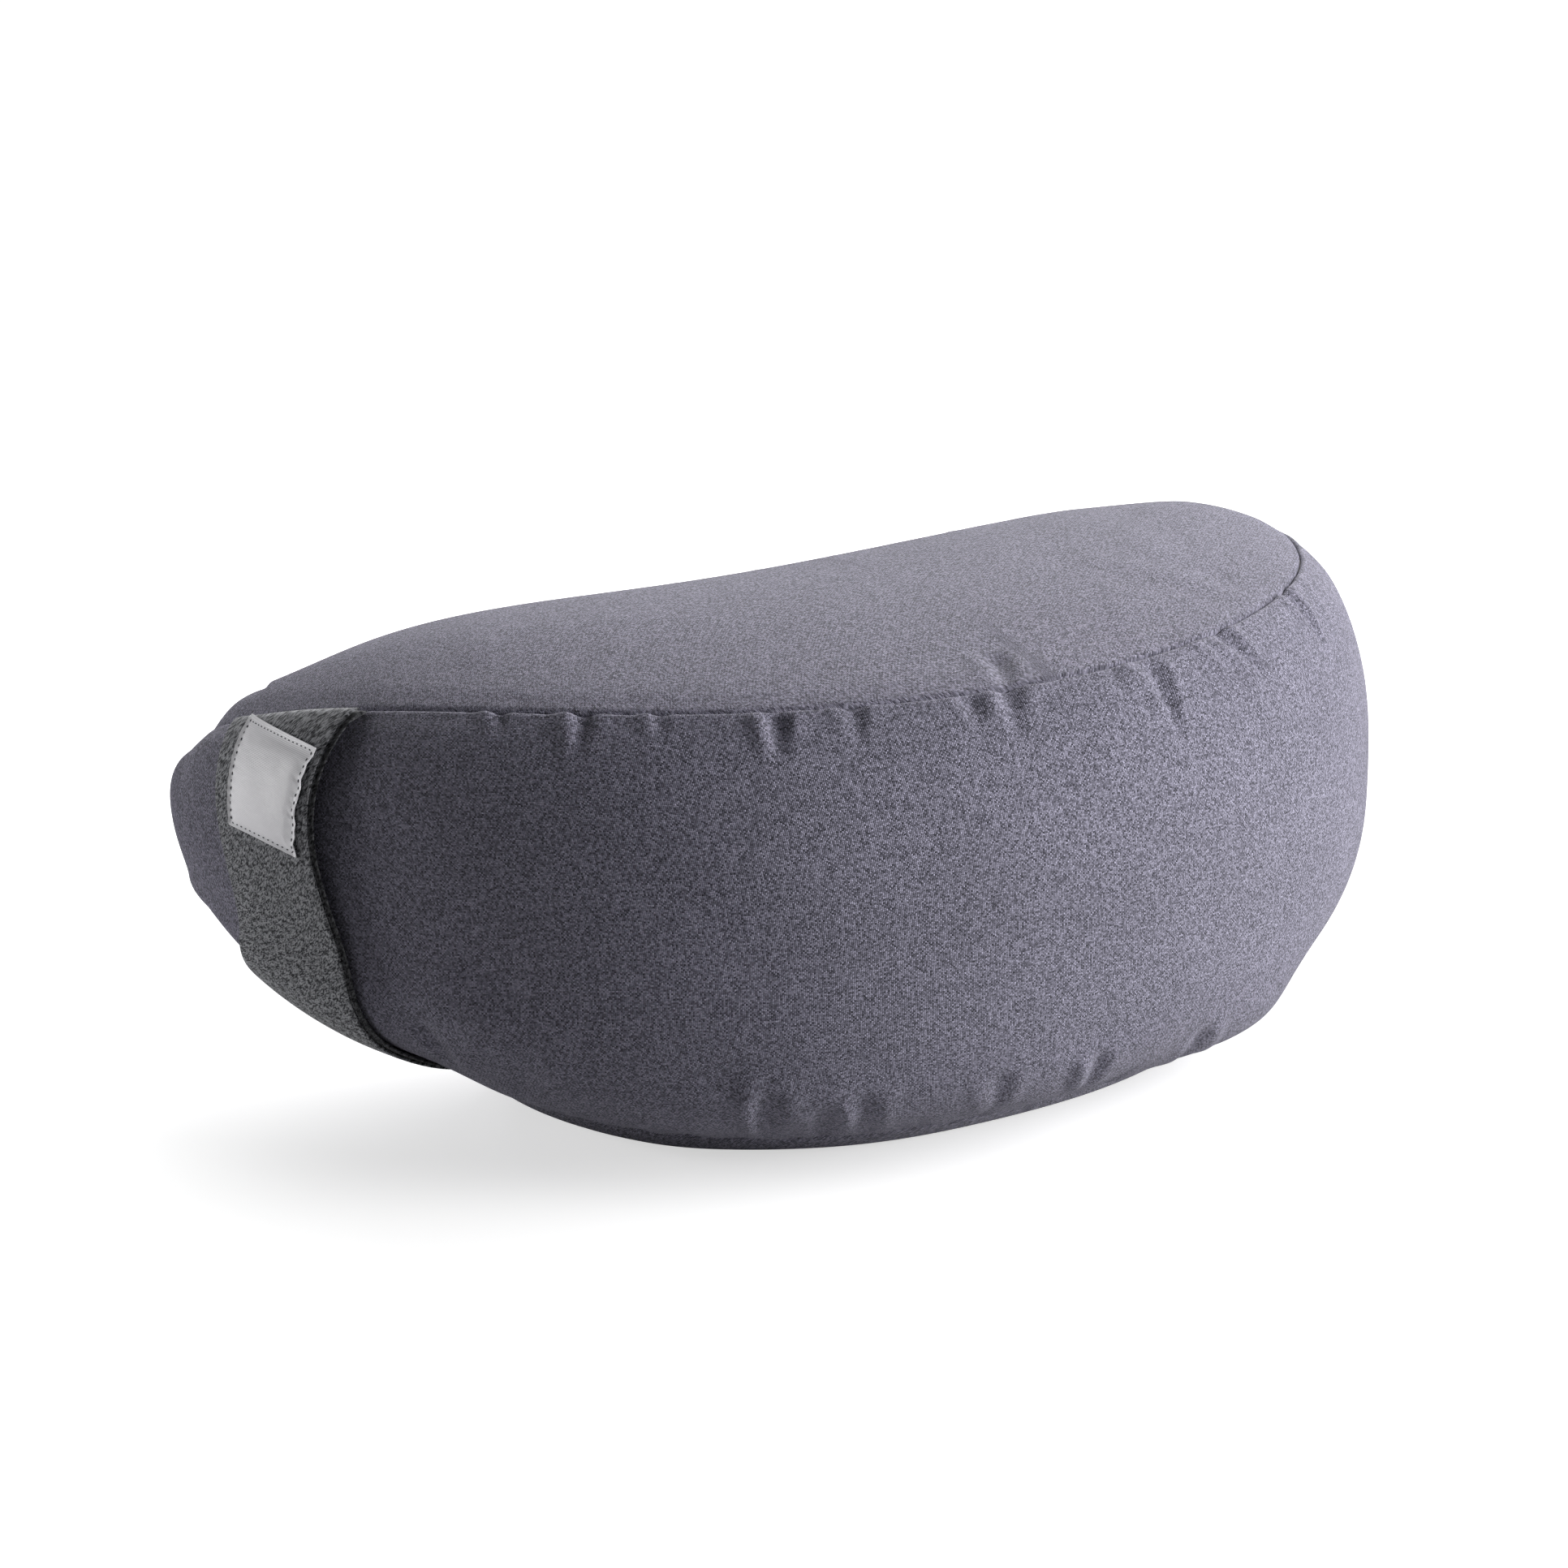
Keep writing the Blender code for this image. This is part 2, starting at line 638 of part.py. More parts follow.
def zip_chain(tape_cloth, nylon, metal):
    """Tapes, tooth rows and end stops of the zip."""
    offsets = (COIL_HALF_WIDTH + CLEAR, ZIP_OPENING / 2, TAPE_REACH)
    rows = {"zip_tape_upper": offsets, "zip_tape_lower": [-offset for offset in reversed(offsets)]}
    overhang = 2.0 * STOP_LENGTH / ZIP_RADIUS
    first = 4.0 - zip_station(ZIP_HALF_ANGLE + overhang)
    stations = [4.0 - first + (2 * first - 4.0) * i / 24 for i in range(25)]
    for name, steps in rows.items():
        def heights(station):
            return [share_at(station, offset) for offset in steps]
        side_panel(name, stations, heights, CANVAS + CLEAR, TAPE_CLOTH, tape_cloth)

    pitch = COIL_PITCH / ZIP_RADIUS
    count = int(2 * (ZIP_HALF_ANGLE - overhang) / pitch)
    length = (count - 1 + COIL_SHARE) * pitch
    half_turn = pitch / 4
    coil_row("zip_coil_upper", 1.0, -length / 2 - half_turn, count, nylon)
    coil_row("zip_coil_lower", -1.0, -length / 2 + half_turn, count, nylon)

    end = length / 2 + half_turn + CLEAR / ZIP_RADIUS
    stop = STOP_LENGTH / ZIP_RADIUS
    depths = (COIL_DEPTH, COIL_DEPTH + COIL_THICKNESS)
    for name, sign in (("zip_top_stop_upper", 1.0), ("zip_top_stop_lower", -1.0)):
        offsets = (sign * COIL_SLOT / 2, sign * COIL_HALF_WIDTH)
        mesh_data = bmesh.new()
        zip_block(mesh_data, (end, end + stop), offsets, depths)
        finish(name, mesh_data, metal, smooth=False)
    mesh_data = bmesh.new()
    zip_block(mesh_data, (-end - stop, -end), (-COIL_HALF_WIDTH, COIL_HALF_WIDTH), depths)
    finish("zip_bottom_stop", mesh_data, metal, smooth=False)
    return end


def box(name, low, high, look=None):
    """A plain box in the slider's own axes: along the zip, towards the hollow, up."""
    mesh_data = bmesh.new()
    bmesh.ops.create_cube(mesh_data, size=1.0)
    for vertex in mesh_data.verts:
        vertex.co = [low[k] if vertex.co[k] < 0 else high[k] for k in range(3)]
    made = finish(name, mesh_data, look or bpy.data.materials["zip_metal"], smooth=False)
    return made


def plate(name, y_from, y_to):
    """One plate of the slider: a shield outline, wide where the rows part."""
    half = COIL_HALF_WIDTH + CLEAR + SLIDER_LIP
    length = SLIDER_LENGTH / 2
    outline = [(-length, half * SLIDER_TAPER * 0.8), (-length * 0.8, half * SLIDER_TAPER),
               (length * 0.45, half), (length * 0.85, half * 0.9), (length, half * 0.6)]
    outline += [(x, -z) for x, z in reversed(outline)]
    mesh_data = bmesh.new()
    front = [mesh_data.verts.new((x, y_to, z)) for x, z in outline]
    rear = [mesh_data.verts.new((x, y_from, z)) for x, z in outline]
    mesh_data.faces.new(front)
    mesh_data.faces.new(list(reversed(rear)))
    bridge(mesh_data, front, rear)
    return finish(name, mesh_data, bpy.data.materials["zip_metal"], smooth=False)


def fuse(body, parts):
    """Join parts to a body as one solid."""
    for part in parts:
        cut = body.modifiers.new(part.name, "BOOLEAN")
        cut.operation = "UNION"
        cut.object = part
        part.hide_render = True
        part.display_type = "WIRE"


def slider_and_pull(end_angle, metal):
    """Slider with its post, lips and bail, and the pull that turns on the bail."""
    rest = end_angle - (SLIDER_LENGTH / 2 + 2 * CLEAR) / ZIP_RADIUS
    outer_in = -COIL_DEPTH + CLEAR
    inner_out = -(COIL_DEPTH + COIL_THICKNESS + CLEAR)
    outer_face = outer_in + SLIDER_PLATE
    half = COIL_HALF_WIDTH + CLEAR + SLIDER_LIP
    tape_out = -(CANVAS + CLEAR)
    tape_in = tape_out - TAPE_CLOTH
    body = plate("zip_slider", outer_in, outer_face)
    parts = [plate("slider_inner_plate", inner_out - SLIDER_PLATE, inner_out)]
    reach = SLIDER_LENGTH * 0.38
    embed = SLIDER_PLATE / 2
    for sign, side in ((1.0, "upper"), (-1.0, "lower")):
        low, high = sorted((sign * (half - SLIDER_LIP), sign * (half * SLIDER_TAPER - CLEAR / 4)))
        parts.append(box("slider_outer_lip_" + side, (-reach, tape_out + CLEAR, low),
                         (reach * 0.8, outer_in + embed, high)))
        parts.append(box("slider_inner_lip_" + side, (-reach, inner_out - embed, low),
                         (reach * 0.8, tape_in - CLEAR, high)))
    post_at = SLIDER_LENGTH / 2 - POST_LENGTH * 1.2
    parts.append(box("slider_post", (post_at - POST_LENGTH / 2, inner_out - embed, -POST_WIDTH / 2),
                     (post_at + POST_LENGTH / 2, outer_in + embed, POST_WIDTH / 2)))
    top = outer_face + BAIL_HEIGHT
    legs = (("bail_back_leg", -BAIL_LENGTH / 2), ("bail_front_leg", BAIL_LENGTH / 2 - BAIL_STOCK))
    for name, start in legs:
        parts.append(box(name, (start, outer_face - embed, -BAIL_WIDTH / 2),
                         (start + BAIL_STOCK, top - BAIL_STOCK / 2, BAIL_WIDTH / 2)))
    parts.append(box("bail_bridge", (-BAIL_LENGTH / 2, top - BAIL_STOCK, -BAIL_WIDTH / 2),
                     (BAIL_LENGTH / 2, top, BAIL_WIDTH / 2)))
    fuse(body, parts)

    axis_y = outer_face + CLEAR + PULL_BAR / 2
    pull = pull_tab(metal)
    place = np.array((ZIP_RADIUS * math.sin(rest), ZIP_CENTRE_Y - ZIP_RADIUS * math.cos(rest), ZIP_HEIGHT))
    carrier = bpy.data.objects.new("slider_place", None)
    bpy.context.scene.collection.objects.link(carrier)
    carrier.location = place
    carrier.rotation_euler = (0.0, 0.0, rest)
    for item in [body] + parts:
        item.parent = carrier
    hinge = bpy.data.objects.new("pull_hinge", None)
    bpy.context.scene.collection.objects.link(hinge)
    hinge.parent = carrier
    hinge.location = (0.0, axis_y, 0.0)
    pull.parent = hinge
    for child in pull.modifiers:
        child.object.parent = hinge


def pull_tab(metal):
    """Pull: a cross bar under the bail, two arms beside it and a plate with a round hole."""
    half = PULL_BAR / 2
    arm_in = BAIL_WIDTH / 2 + CLEAR
    arm_out = arm_in + PULL_ARM
    window = math.hypot(BAIL_LENGTH / 2, BAIL_HEIGHT) + CLEAR
    mesh_data = bmesh.new()
    wide = PULL_WIDTH / 2
    outline = [(-window, arm_out), (-window - 0.003, wide)]
    centre = PULL_LENGTH - wide
    for i in range(9):
        turn = math.pi / 2 * (1 - i / 4)
        outline.append((-centre - wide * math.cos(turn), wide * math.sin(turn)))
    outline += [(-window - 0.003, -wide), (-window, -arm_out)]
    front = [mesh_data.verts.new((x, half, z)) for x, z in outline]
    rear = [mesh_data.verts.new((x, -half, z)) for x, z in outline]
    mesh_data.faces.new(front)
    mesh_data.faces.new(list(reversed(rear)))
    bridge(mesh_data, front, rear)
    body = finish("zip_pull", mesh_data, metal, smooth=False)
    parts = []
    for sign, side in ((1.0, "upper"), (-1.0, "lower")):
        low, high = sorted((sign * arm_in, sign * arm_out))
        parts.append(box("pull_arm_" + side, (-window - half, -half, low), (half, half, high)))
    parts.append(box("pull_cross_bar", (-half, -half, -arm_in - half), (half, half, arm_in + half)))
    fuse(body, parts)
    mesh_data = bmesh.new()
    bmesh.ops.create_cone(mesh_data, cap_ends=True, segments=16, radius1=PULL_HOLE / 2,
                          radius2=PULL_HOLE / 2, depth=PULL_BAR * 3)
    cutter = finish("pull_hole_cutter", mesh_data, metal)
    for vertex in cutter.data.vertices:
        x, y, z = vertex.co
        vertex.co = (x - centre, z, y)
    cutter.data.flip_normals()
    cutter.hide_render = True
    cutter.display_type = "WIRE"
    hole = body.modifiers.new("hole", "BOOLEAN")
    hole.operation = "DIFFERENCE"
    hole.object = cutter
    return body


def centre_over_origin():
    """Move everything so that the middle of the bounding box, strap included, lies over the origin."""
    bpy.context.view_layer.update()
    corners = []
    for made in bpy.data.objects:
        if made.type == "MESH" and not made.hide_render:
            corners += [made.matrix_world @ vertex.co for vertex in made.data.vertices]
    for axis in (0, 1):
        middle = (max(c[axis] for c in corners) + min(c[axis] for c in corners)) / 2
        for made in bpy.data.objects:
            if made.parent is None:
                made.location[axis] -= middle


def main():
    for old in list(bpy.data.objects):
        bpy.data.objects.remove(old, do_unlink=True)
    canvas = material("grey_canvas", (0.115, 0.112, 0.130), 0.92)
    heather = material("heather_strap", (0.085, 0.090, 0.095), 0.95)
    satin = material("pale_satin", (0.62, 0.60, 0.66), 0.45)
    cotton = material("white_cotton", (0.72, 0.70, 0.66), 0.9)
    hulls = material("buckwheat_hulls", (0.055, 0.035, 0.024), 0.85)
    tape_cloth = material("grey_zip_tape", (0.09, 0.09, 0.10), 0.85)
    nylon = material("grey_nylon", (0.10, 0.10, 0.11), 0.4)
    metal = material("zip_metal", (0.30, 0.30, 0.32), 0.35, 1.0)
    cover_panels(canvas)
    liner_and_filling(cotton, hulls)
    carry_strap(heather, satin)
    end_angle = zip_chain(tape_cloth, nylon, metal)
    slider_and_pull(end_angle, metal)
    centre_over_origin()


main()
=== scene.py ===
"""Crescent meditation cushion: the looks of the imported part, laid out as an add-on.

Metres, +Z up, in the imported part's own frame. X runs from horn to horn, the rounded front faces -Y.
The panels repeat the part's three-arc seam lines and its swelled walls, then get their dents, seams
and stitches. A station runs along the side: -1 to 1 along the front, 1 to 3 back by the hollow.
"""
import math

import bmesh
import bpy
import numpy as np
from bpy.props import FloatProperty, FloatVectorProperty, IntProperty, PointerProperty
from mathutils import Matrix, Vector


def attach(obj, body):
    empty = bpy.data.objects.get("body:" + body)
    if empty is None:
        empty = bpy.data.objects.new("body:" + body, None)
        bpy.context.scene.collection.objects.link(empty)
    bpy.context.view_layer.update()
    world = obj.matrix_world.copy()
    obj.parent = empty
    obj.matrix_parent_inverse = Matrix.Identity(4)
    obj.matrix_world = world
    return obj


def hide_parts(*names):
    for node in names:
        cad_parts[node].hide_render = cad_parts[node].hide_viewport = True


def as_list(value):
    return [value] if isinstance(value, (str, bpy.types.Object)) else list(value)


bl_info = {
    "name": "Crescent cushion",
    "version": (1, 0, 0),
    "blender": (4, 5, 0),
    "location": "3D View > Sidebar > Cushion",
    "description": "Dresses the packed crescent cushion with its sewn cover, strap, label, zip and filling",
    "category": "Object",
}

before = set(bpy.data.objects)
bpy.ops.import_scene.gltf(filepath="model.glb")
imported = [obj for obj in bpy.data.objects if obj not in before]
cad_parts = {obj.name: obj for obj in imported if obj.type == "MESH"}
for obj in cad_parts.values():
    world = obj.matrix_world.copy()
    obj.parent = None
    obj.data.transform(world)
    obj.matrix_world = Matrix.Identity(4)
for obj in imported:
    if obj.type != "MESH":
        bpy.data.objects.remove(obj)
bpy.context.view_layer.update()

# Seam lines and swelling of the filled cover, the same sizes as the part's source. Each seam line has
# its front radius, depth, hollow radius and horn radius, and the y of its front arc's centre.
TOP_SEAM = (0.2094, 0.1572, 0.318, 0.0125, 0.1054)
BASE_SEAM = (0.1650, 0.1440, 0.3768, 0.0390, 0.0635)
BASE_SEAM_HEIGHT = 0.0104
SIDE_HEIGHT = 0.1535
HORN_DROP, HORN_DROP_POWER = 0.0557, 4.6
HORN_LIFT, HORN_LIFT_POWER = 0.0546, 5.8
CROWN, CROWN_POWER = 0.0107, 1.62
WALL_BULGE, HORN_BULGE, HORN_SWEEP = 0.0296, 0.0251, 0.100
WIDEST_HEIGHT = 0.0625
WALL_POWER, WALL_ROOT = 2.58, 1.335
BASE_FLAT_SHARE, BASE_RISE_POWER = 0.25, 3.0
CANVAS, LINER_CLOTH, CLEAR = 0.0010, 0.0006, 0.0003
LOOSE_FILLING = 0.0012
ZIP_ARC_ANGLE, ZIP_ARC_RUN, ZIP_HALF_ANGLE = 0.400, 0.745, 0.36
ZIP_OPENING, ZIP_POCKET, LOOSE_LINER = 0.012, 0.0036, 0.0005
TAPE_WIDTH, TAPE_CLOTH = 0.0125, 0.0006
COIL_HALF_WIDTH, COIL_DEPTH, COIL_THICKNESS = 0.0027, 0.0002, 0.0020
STOP_LENGTH = 0.0020
ZIP_ROWS = (("upper", 1.0), ("lower", -1.0))
TOOTH_TIP = 0.0003
STRAP_CLOTH, STRAP_STAND_OFF = 0.0011, 0.0068
STRAP_HEIGHTS = (1.0, 0.6, 0.3, 0.0)
STRAP_HORN_EDGE = (0.858, 0.870, 0.882, 0.945)
STRAP_FRONT_EDGE = (0.676, 0.745, 0.737, 0.800)
LABEL_CLOTH = 0.0004
LABEL_CORNERS = ((0.205, 0.008), (0.940, 0.078), (0.185, 0.238), (0.870, 0.298))
WIDEST = WIDEST_HEIGHT / SIDE_HEIGHT
ZIP_HEIGHT = BASE_SEAM_HEIGHT + WIDEST_HEIGHT
TAPE_REACH = COIL_HALF_WIDTH + CLEAR + TAPE_WIDTH
UP = np.array((0.0, 0.0, 1.0))
AT_SEAM = 1e-9
TOP_DENT_HEIGHT = 0.168
TOP_FACE_WIDTH, BASE_FACE_WIDTH = 0.157, 0.144
DENT_THICKNESS, DENT_RIM = 0.02, 0.42
TURN_WEIGHT = 0.8
HULL_SIZE = 0.0052
STRAP_SINK, STRAP_SINK_REACH = 0.0040, 0.0060
STITCH_LIFT, ZIP_SEAM_AWAY, TAPE_SEAM_AWAY = 0.00008, 0.0030, 0.0046
FLOOR_HEIGHT = -0.0002
LIGHTS_AIM = (0.0, 0.0, 0.08)
VIEW_SHIFT, VIEW_CENTRE = 0.0301790, (0.0, 0.1303720, 0.0562310)
SHARP_ANGLE = math.radians(50.0)
SIMULATED_FRAMES = 20
THINNED = 4

# Cuts that a cover panel shares with its panel of the inner bag, and the other cuts: width, length
TOP_CUT, BASE_CUT, FRONT_CUT, BACK_CUT = (0.43, 0.25), (0.35, 0.20), (0.72, 0.19), (0.46, 0.19)
UPPER_BACK_CUT, LOWER_BACK_CUT = (0.46, 0.12), (0.46, 0.09)
STRAP_CUT, LABEL_CUT, TAPE_CUT = (0.070, 0.180), (0.045, 0.050), (0.0160, 0.250)
# Sizes that the cloth maps of the strap and the label are drawn in
STRAP_MAP, LABEL_MAP, LABEL_SIDE = (0.055, 0.150), 0.043, 0.044

# Dents of the front panel: from (station, height) to (station, height), half width, depth.
# A height of 1 is the top seam, and a negative depth is a ridge.
FRONT_DENTS = (
    (-0.546, 1.00, -0.545, 0.955, 0.0024, -0.0007), (-0.532, 1.00, -0.530, 0.970, 0.0022, 0.0008),
    (-0.468, 1.00, -0.473, 0.925, 0.0026, -0.0008), (-0.448, 1.00, -0.457, 0.950, 0.0028, 0.0012),
    (-0.392, 1.00, -0.395, 0.960, 0.0024, -0.0006), (-0.378, 1.00, -0.382, 0.960, 0.0022, 0.0005),
    (-0.291, 0.99, -0.298, 0.915, 0.0024, -0.0007), (-0.275, 0.99, -0.280, 0.930, 0.0030, 0.0018),
    (-0.202, 1.00, -0.208, 0.945, 0.0030, 0.0013), (-0.092, 0.99, -0.094, 0.940, 0.0030, 0.0013),
    (-0.050, 1.00, -0.058, 0.935, 0.0034, 0.0018), (0.113, 0.975, 0.119, 0.858, 0.0030, 0.0021),
    (0.227, 0.995, 0.255, 0.915, 0.0030, 0.0020), (0.393, 1.00, 0.410, 0.890, 0.0030, 0.0018),
    (0.085, 1.00, 0.080, 0.930, 0.0030, -0.0006), (0.185, 1.00, 0.200, 0.930, 0.0030, -0.0006),
    (-0.365, 0.22, -0.387, 0.070, 0.0034, -0.0010), (-0.350, 0.18, -0.370, 0.060, 0.0036, 0.0018),
    (-0.292, 0.14, -0.310, 0.030, 0.0034, 0.0016), (-0.252, 0.17, -0.256, 0.040, 0.0034, 0.0014),
    (-0.105, 0.18, -0.102, 0.090, 0.0034, 0.0013), (-0.005, 0.18, 0.006, 0.070, 0.0032, -0.0009),
    (0.017, 0.18, 0.015, 0.090, 0.0032, 0.0013), (0.177, 0.13, 0.200, 0.030, 0.0032, 0.0014),
    (0.197, 0.15, 0.235, 0.040, 0.0032, -0.0008), (-0.678, 0.30, -0.674, 0.190, 0.0040, 0.0016),
    (-0.600, 0.37, -0.662, 0.200, 0.0050, -0.0010), (-0.560, 0.33, -0.610, 0.150, 0.0050, 0.0010),
)
# Dents of the top panel: from (x, y) to (x, y), half width, depth
TOP_DENTS = (
    (-0.0099, -0.0874, -0.0162, -0.1011, 0.0034, 0.0018),
    (0.0706, -0.0277, 0.1050, -0.0700, 0.0070, -0.0006),
    (0.0584, -0.0569, 0.0418, -0.0923, 0.0060, -0.0005),
    (0.1011, 0.0413, 0.0620, -0.0300, 0.0080, -0.0005),
    (0.1240, 0.0300, 0.1044, -0.0530, 0.0070, 0.0006),
    (-0.1446, 0.0178, -0.1530, 0.0020, 0.0060, -0.0006),
)
HORN_PLEAT = ((-0.1850, 0.0990), (-0.2065, 0.0640), 0.0022)
HORN_CREASE = 0.5
# Where the filling pushes the whole cover out or lets it sink: middle, push and reach along x, y and z
SWELLS = (
    ((0.025, 0.056, 0.168), (0.0, -0.0005, 0.0026), (0.078, 0.050, 0.035)),
    ((0.180, 0.034, 0.161), (0.0008, 0.0010, 0.0038), (0.036, 0.042, 0.040)),
    ((0.205, -0.010, 0.140), (-0.0020, 0.0, -0.0010), (0.030, 0.030, 0.030)),
    ((-0.204, 0.098, 0.127), (-0.0012, 0.0, 0.0052), (0.022, 0.028, 0.024)),
    ((-0.227, 0.084, 0.087), (-0.0024, 0.0, 0.0), (0.020, 0.022, 0.017)),
    ((0.084, -0.098, 0.022), (0.0054, -0.0040, -0.0010), (0.028, 0.028, 0.020)),
    ((-0.005, -0.095, 0.006), (0.0, 0.0015, 0.0013), (0.050, 0.030, 0.020)),
    ((-0.112, -0.045, 0.006), (-0.0012, -0.0021, 0.0), (0.030, 0.030, 0.020)),
    ((-0.184, -0.015, 0.036), (0.0026, 0.0022, 0.0008), (0.022, 0.022, 0.018)),
)


def smooth(x, start, end):
    """Runs smoothly from 0 at start to 1 at end."""
    t = np.clip((x - start) / (end - start), 0.0, 1.0)
    return t * t * (3.0 - 2.0 * t)


def unit(vectors):
    return vectors / np.maximum(np.linalg.norm(vectors, axis=-1, keepdims=True), 1e-12)


class SeamLine:
    """Outline of a crescent panel, seen from above: front arc, hollow arc and round horns."""

    def __init__(self, front_radius, depth, hollow_radius, horn_radius, centre_y):
        self.front_radius, self.hollow_radius, self.horn_radius = front_radius, hollow_radius, horn_radius
        self.depth, self.centre_y = depth, centre_y
        self.hollow_y = hollow_radius - front_radius + depth
        reach = front_radius - horn_radius
        self.horn_y = (reach**2 - (hollow_radius + horn_radius)**2 + self.hollow_y**2) / (2 * self.hollow_y)
        self.horn_x = math.sqrt(reach**2 - self.horn_y**2)
        self.front_turn = math.atan2(self.horn_y, self.horn_x)
        self.hollow_turn = math.atan2(self.hollow_y - self.horn_y, -self.horn_x)
        self.tip_turn = (self.front_turn + self.hollow_turn) / 2

    def _walk(self, share, radius, start_y, span, horn_start, horn_end):
        """Points and turns along an arc and then round the horn."""
        arc = radius * span
        way = share * (arc + self.horn_radius * abs(horn_end - horn_start))
        on_arc = way < arc
        step = math.copysign(1.0, horn_end - horn_start)
        turn = np.where(on_arc, way / radius - math.pi / 2,
                        horn_start + step * (way - arc) / self.horn_radius)
        size = np.where(on_arc, radius, self.horn_radius)
        x = np.where(on_arc, 0.0, self.horn_x) + size * np.cos(turn)
        y = np.where(on_arc, start_y, self.horn_y) + size * np.sin(turn)
        return x, y, turn, on_arc

    def at(self, station):
        """Points and outward directions at stations."""
        station = np.asarray(station, float)
        hollow_side = station > 1.0
        run = np.where(hollow_side, 2.0 - station, station)
        share = np.minimum(np.abs(run), 1.0)
        front = self._walk(share, self.front_radius, 0.0, self.front_turn + math.pi / 2,
                           self.front_turn, self.tip_turn)
        span = math.atan2(self.horn_y - self.hollow_y, self.horn_x) + math.pi / 2
        hollow = self._walk(share, self.hollow_radius, self.hollow_y, span, self.hollow_turn, self.tip_turn)
        x, y, turn, on_arc = (np.where(hollow_side, h, f) for h, f in zip(hollow, front))
        flip = np.where(hollow_side & on_arc.astype(bool), -1.0, 1.0)
        side = np.where(run < 0, -1.0, 1.0)
        level = np.zeros_like(side)
        point = np.stack((side * x, y + self.centre_y, level), -1)
        return point, np.stack((side * flip * np.cos(turn), flip * np.sin(turn), level), -1)

    def inset(self, points):
        """How far points lie inside the outline, seen from above."""
        x, y = np.abs(points[..., 0]), points[..., 1] - self.centre_y
        arcs = np.minimum(self.front_radius - np.hypot(x, y),
                          np.hypot(x, y - self.hollow_y) - self.hollow_radius)
        turn = np.arctan2(y - self.horn_y, x - self.horn_x)
        in_horn = (turn > self.front_turn) & (turn < self.hollow_turn)
        horn = self.horn_radius - np.hypot(x - self.horn_x, y - self.horn_y)
        return np.where(in_horn, horn, arcs)


TOP, BASE = SeamLine(*TOP_SEAM), SeamLine(*BASE_SEAM)
ZIP_CENTRE_Y = TOP.hollow_y + TOP.centre_y


def run_of(station):
    return np.where(station <= 1.0, np.abs(station), np.abs(2.0 - station))


def top_seam_z(run):
    return BASE_SEAM_HEIGHT + SIDE_HEIGHT - HORN_DROP * np.abs(run)**HORN_DROP_POWER


def base_seam_z(run):
    return BASE_SEAM_HEIGHT + HORN_LIFT * np.abs(run)**HORN_LIFT_POWER


def upright_at(station):
    return BASE.at(station)[0] * (1.0 - WIDEST) + TOP.at(station)[0] * WIDEST


ZIP_RADIUS = float(ZIP_CENTRE_Y - upright_at(2.0)[1] - WALL_BULGE)


def widest_at(station):
    """Plan points of the widest line: swelled on the front, the zip's arc and a sweep on the hollow side."""
    run = run_of(station)[..., None]
    front = upright_at(station) + TOP.at(station)[1] * (WALL_BULGE + HORN_BULGE * run * run)
    tip_out = TOP.at(1.0)[1]
    tip = upright_at(1.0) + tip_out * (WALL_BULGE + HORN_BULGE)
    angle = ZIP_ARC_ANGLE * np.minimum(run / ZIP_ARC_RUN, 1.0)
    level = np.zeros_like(angle)
    along = np.concatenate((np.cos(angle), np.sin(angle), level), -1)
    arc = np.concatenate((ZIP_RADIUS * np.sin(angle), ZIP_CENTRE_Y - ZIP_RADIUS * np.cos(angle), level), -1)
    rest = 1.0 - ZIP_ARC_RUN
    s = np.maximum(run - ZIP_ARC_RUN, 0.0) / rest
    leave = along * (ZIP_RADIUS * ZIP_ARC_ANGLE / ZIP_ARC_RUN * rest)
    arrive = np.array((tip_out[1], -tip_out[0], 0.0)) * HORN_SWEEP
    swept = (arc * (2 * s**3 - 3 * s**2 + 1) + leave * (s**3 - 2 * s**2 + s)
             + tip * (3 * s**2 - 2 * s**3) + arrive * (s**3 - s**2))
    swept[..., 0] *= np.where(station > 2.0, -1.0, 1.0)
    return np.where((station > 1.0)[..., None], swept, front)


def side_point(station, height):
    """Points of the outer face of the filled side; height 0 is the base seam, 1 the top seam."""
    station, height = np.broadcast_arrays(np.asarray(station, float), np.asarray(height, float))
    run = run_of(station)
    upright = upright_at(station)
    over = height >= WIDEST
    q = np.clip(np.where(over, (height - WIDEST) / (1.0 - WIDEST), (WIDEST - height) / WIDEST), 0.0, 1.0)
    lean = np.where(over[..., None], TOP.at(station)[0], BASE.at(station)[0]) - upright
    swell = (1.0 - q**WALL_POWER) ** (1.0 / WALL_ROOT)
    point = upright + lean * (q * q)[..., None] + (widest_at(station) - upright) * swell[..., None]
    low, high = base_seam_z(run), top_seam_z(run)
    sag = (low * (1.0 - WIDEST) + high * WIDEST - ZIP_HEIGHT) * (1.0 - smooth(run, ZIP_ARC_RUN, 1.0))
    point[..., 2] = low * (1.0 - height) + high * height
    point[..., 2] -= np.where(station > 1.0, sag * (1.0 - q * q)**2, 0.0)
    return point


def side_out(station, height):
    """Unit outward directions of the side; upright at both seams."""
    station, height = np.broadcast_arrays(np.asarray(station, float), np.asarray(height, float))
    step = 1e-4
    before, after = ((station - step + 1.0) % 4.0 - 1.0, (station + step + 1.0) % 4.0 - 1.0)
    along = side_point(after, height) - side_point(before, height)
    low, high = np.maximum(height - step, 0.0), np.minimum(height + step, 1.0)
    out = unit(np.cross(along, side_point(station, high) - side_point(station, low)))
    out = np.where((height > 1.0 - AT_SEAM)[..., None], UP, out)
    return np.where((height < AT_SEAM)[..., None], -UP, out)


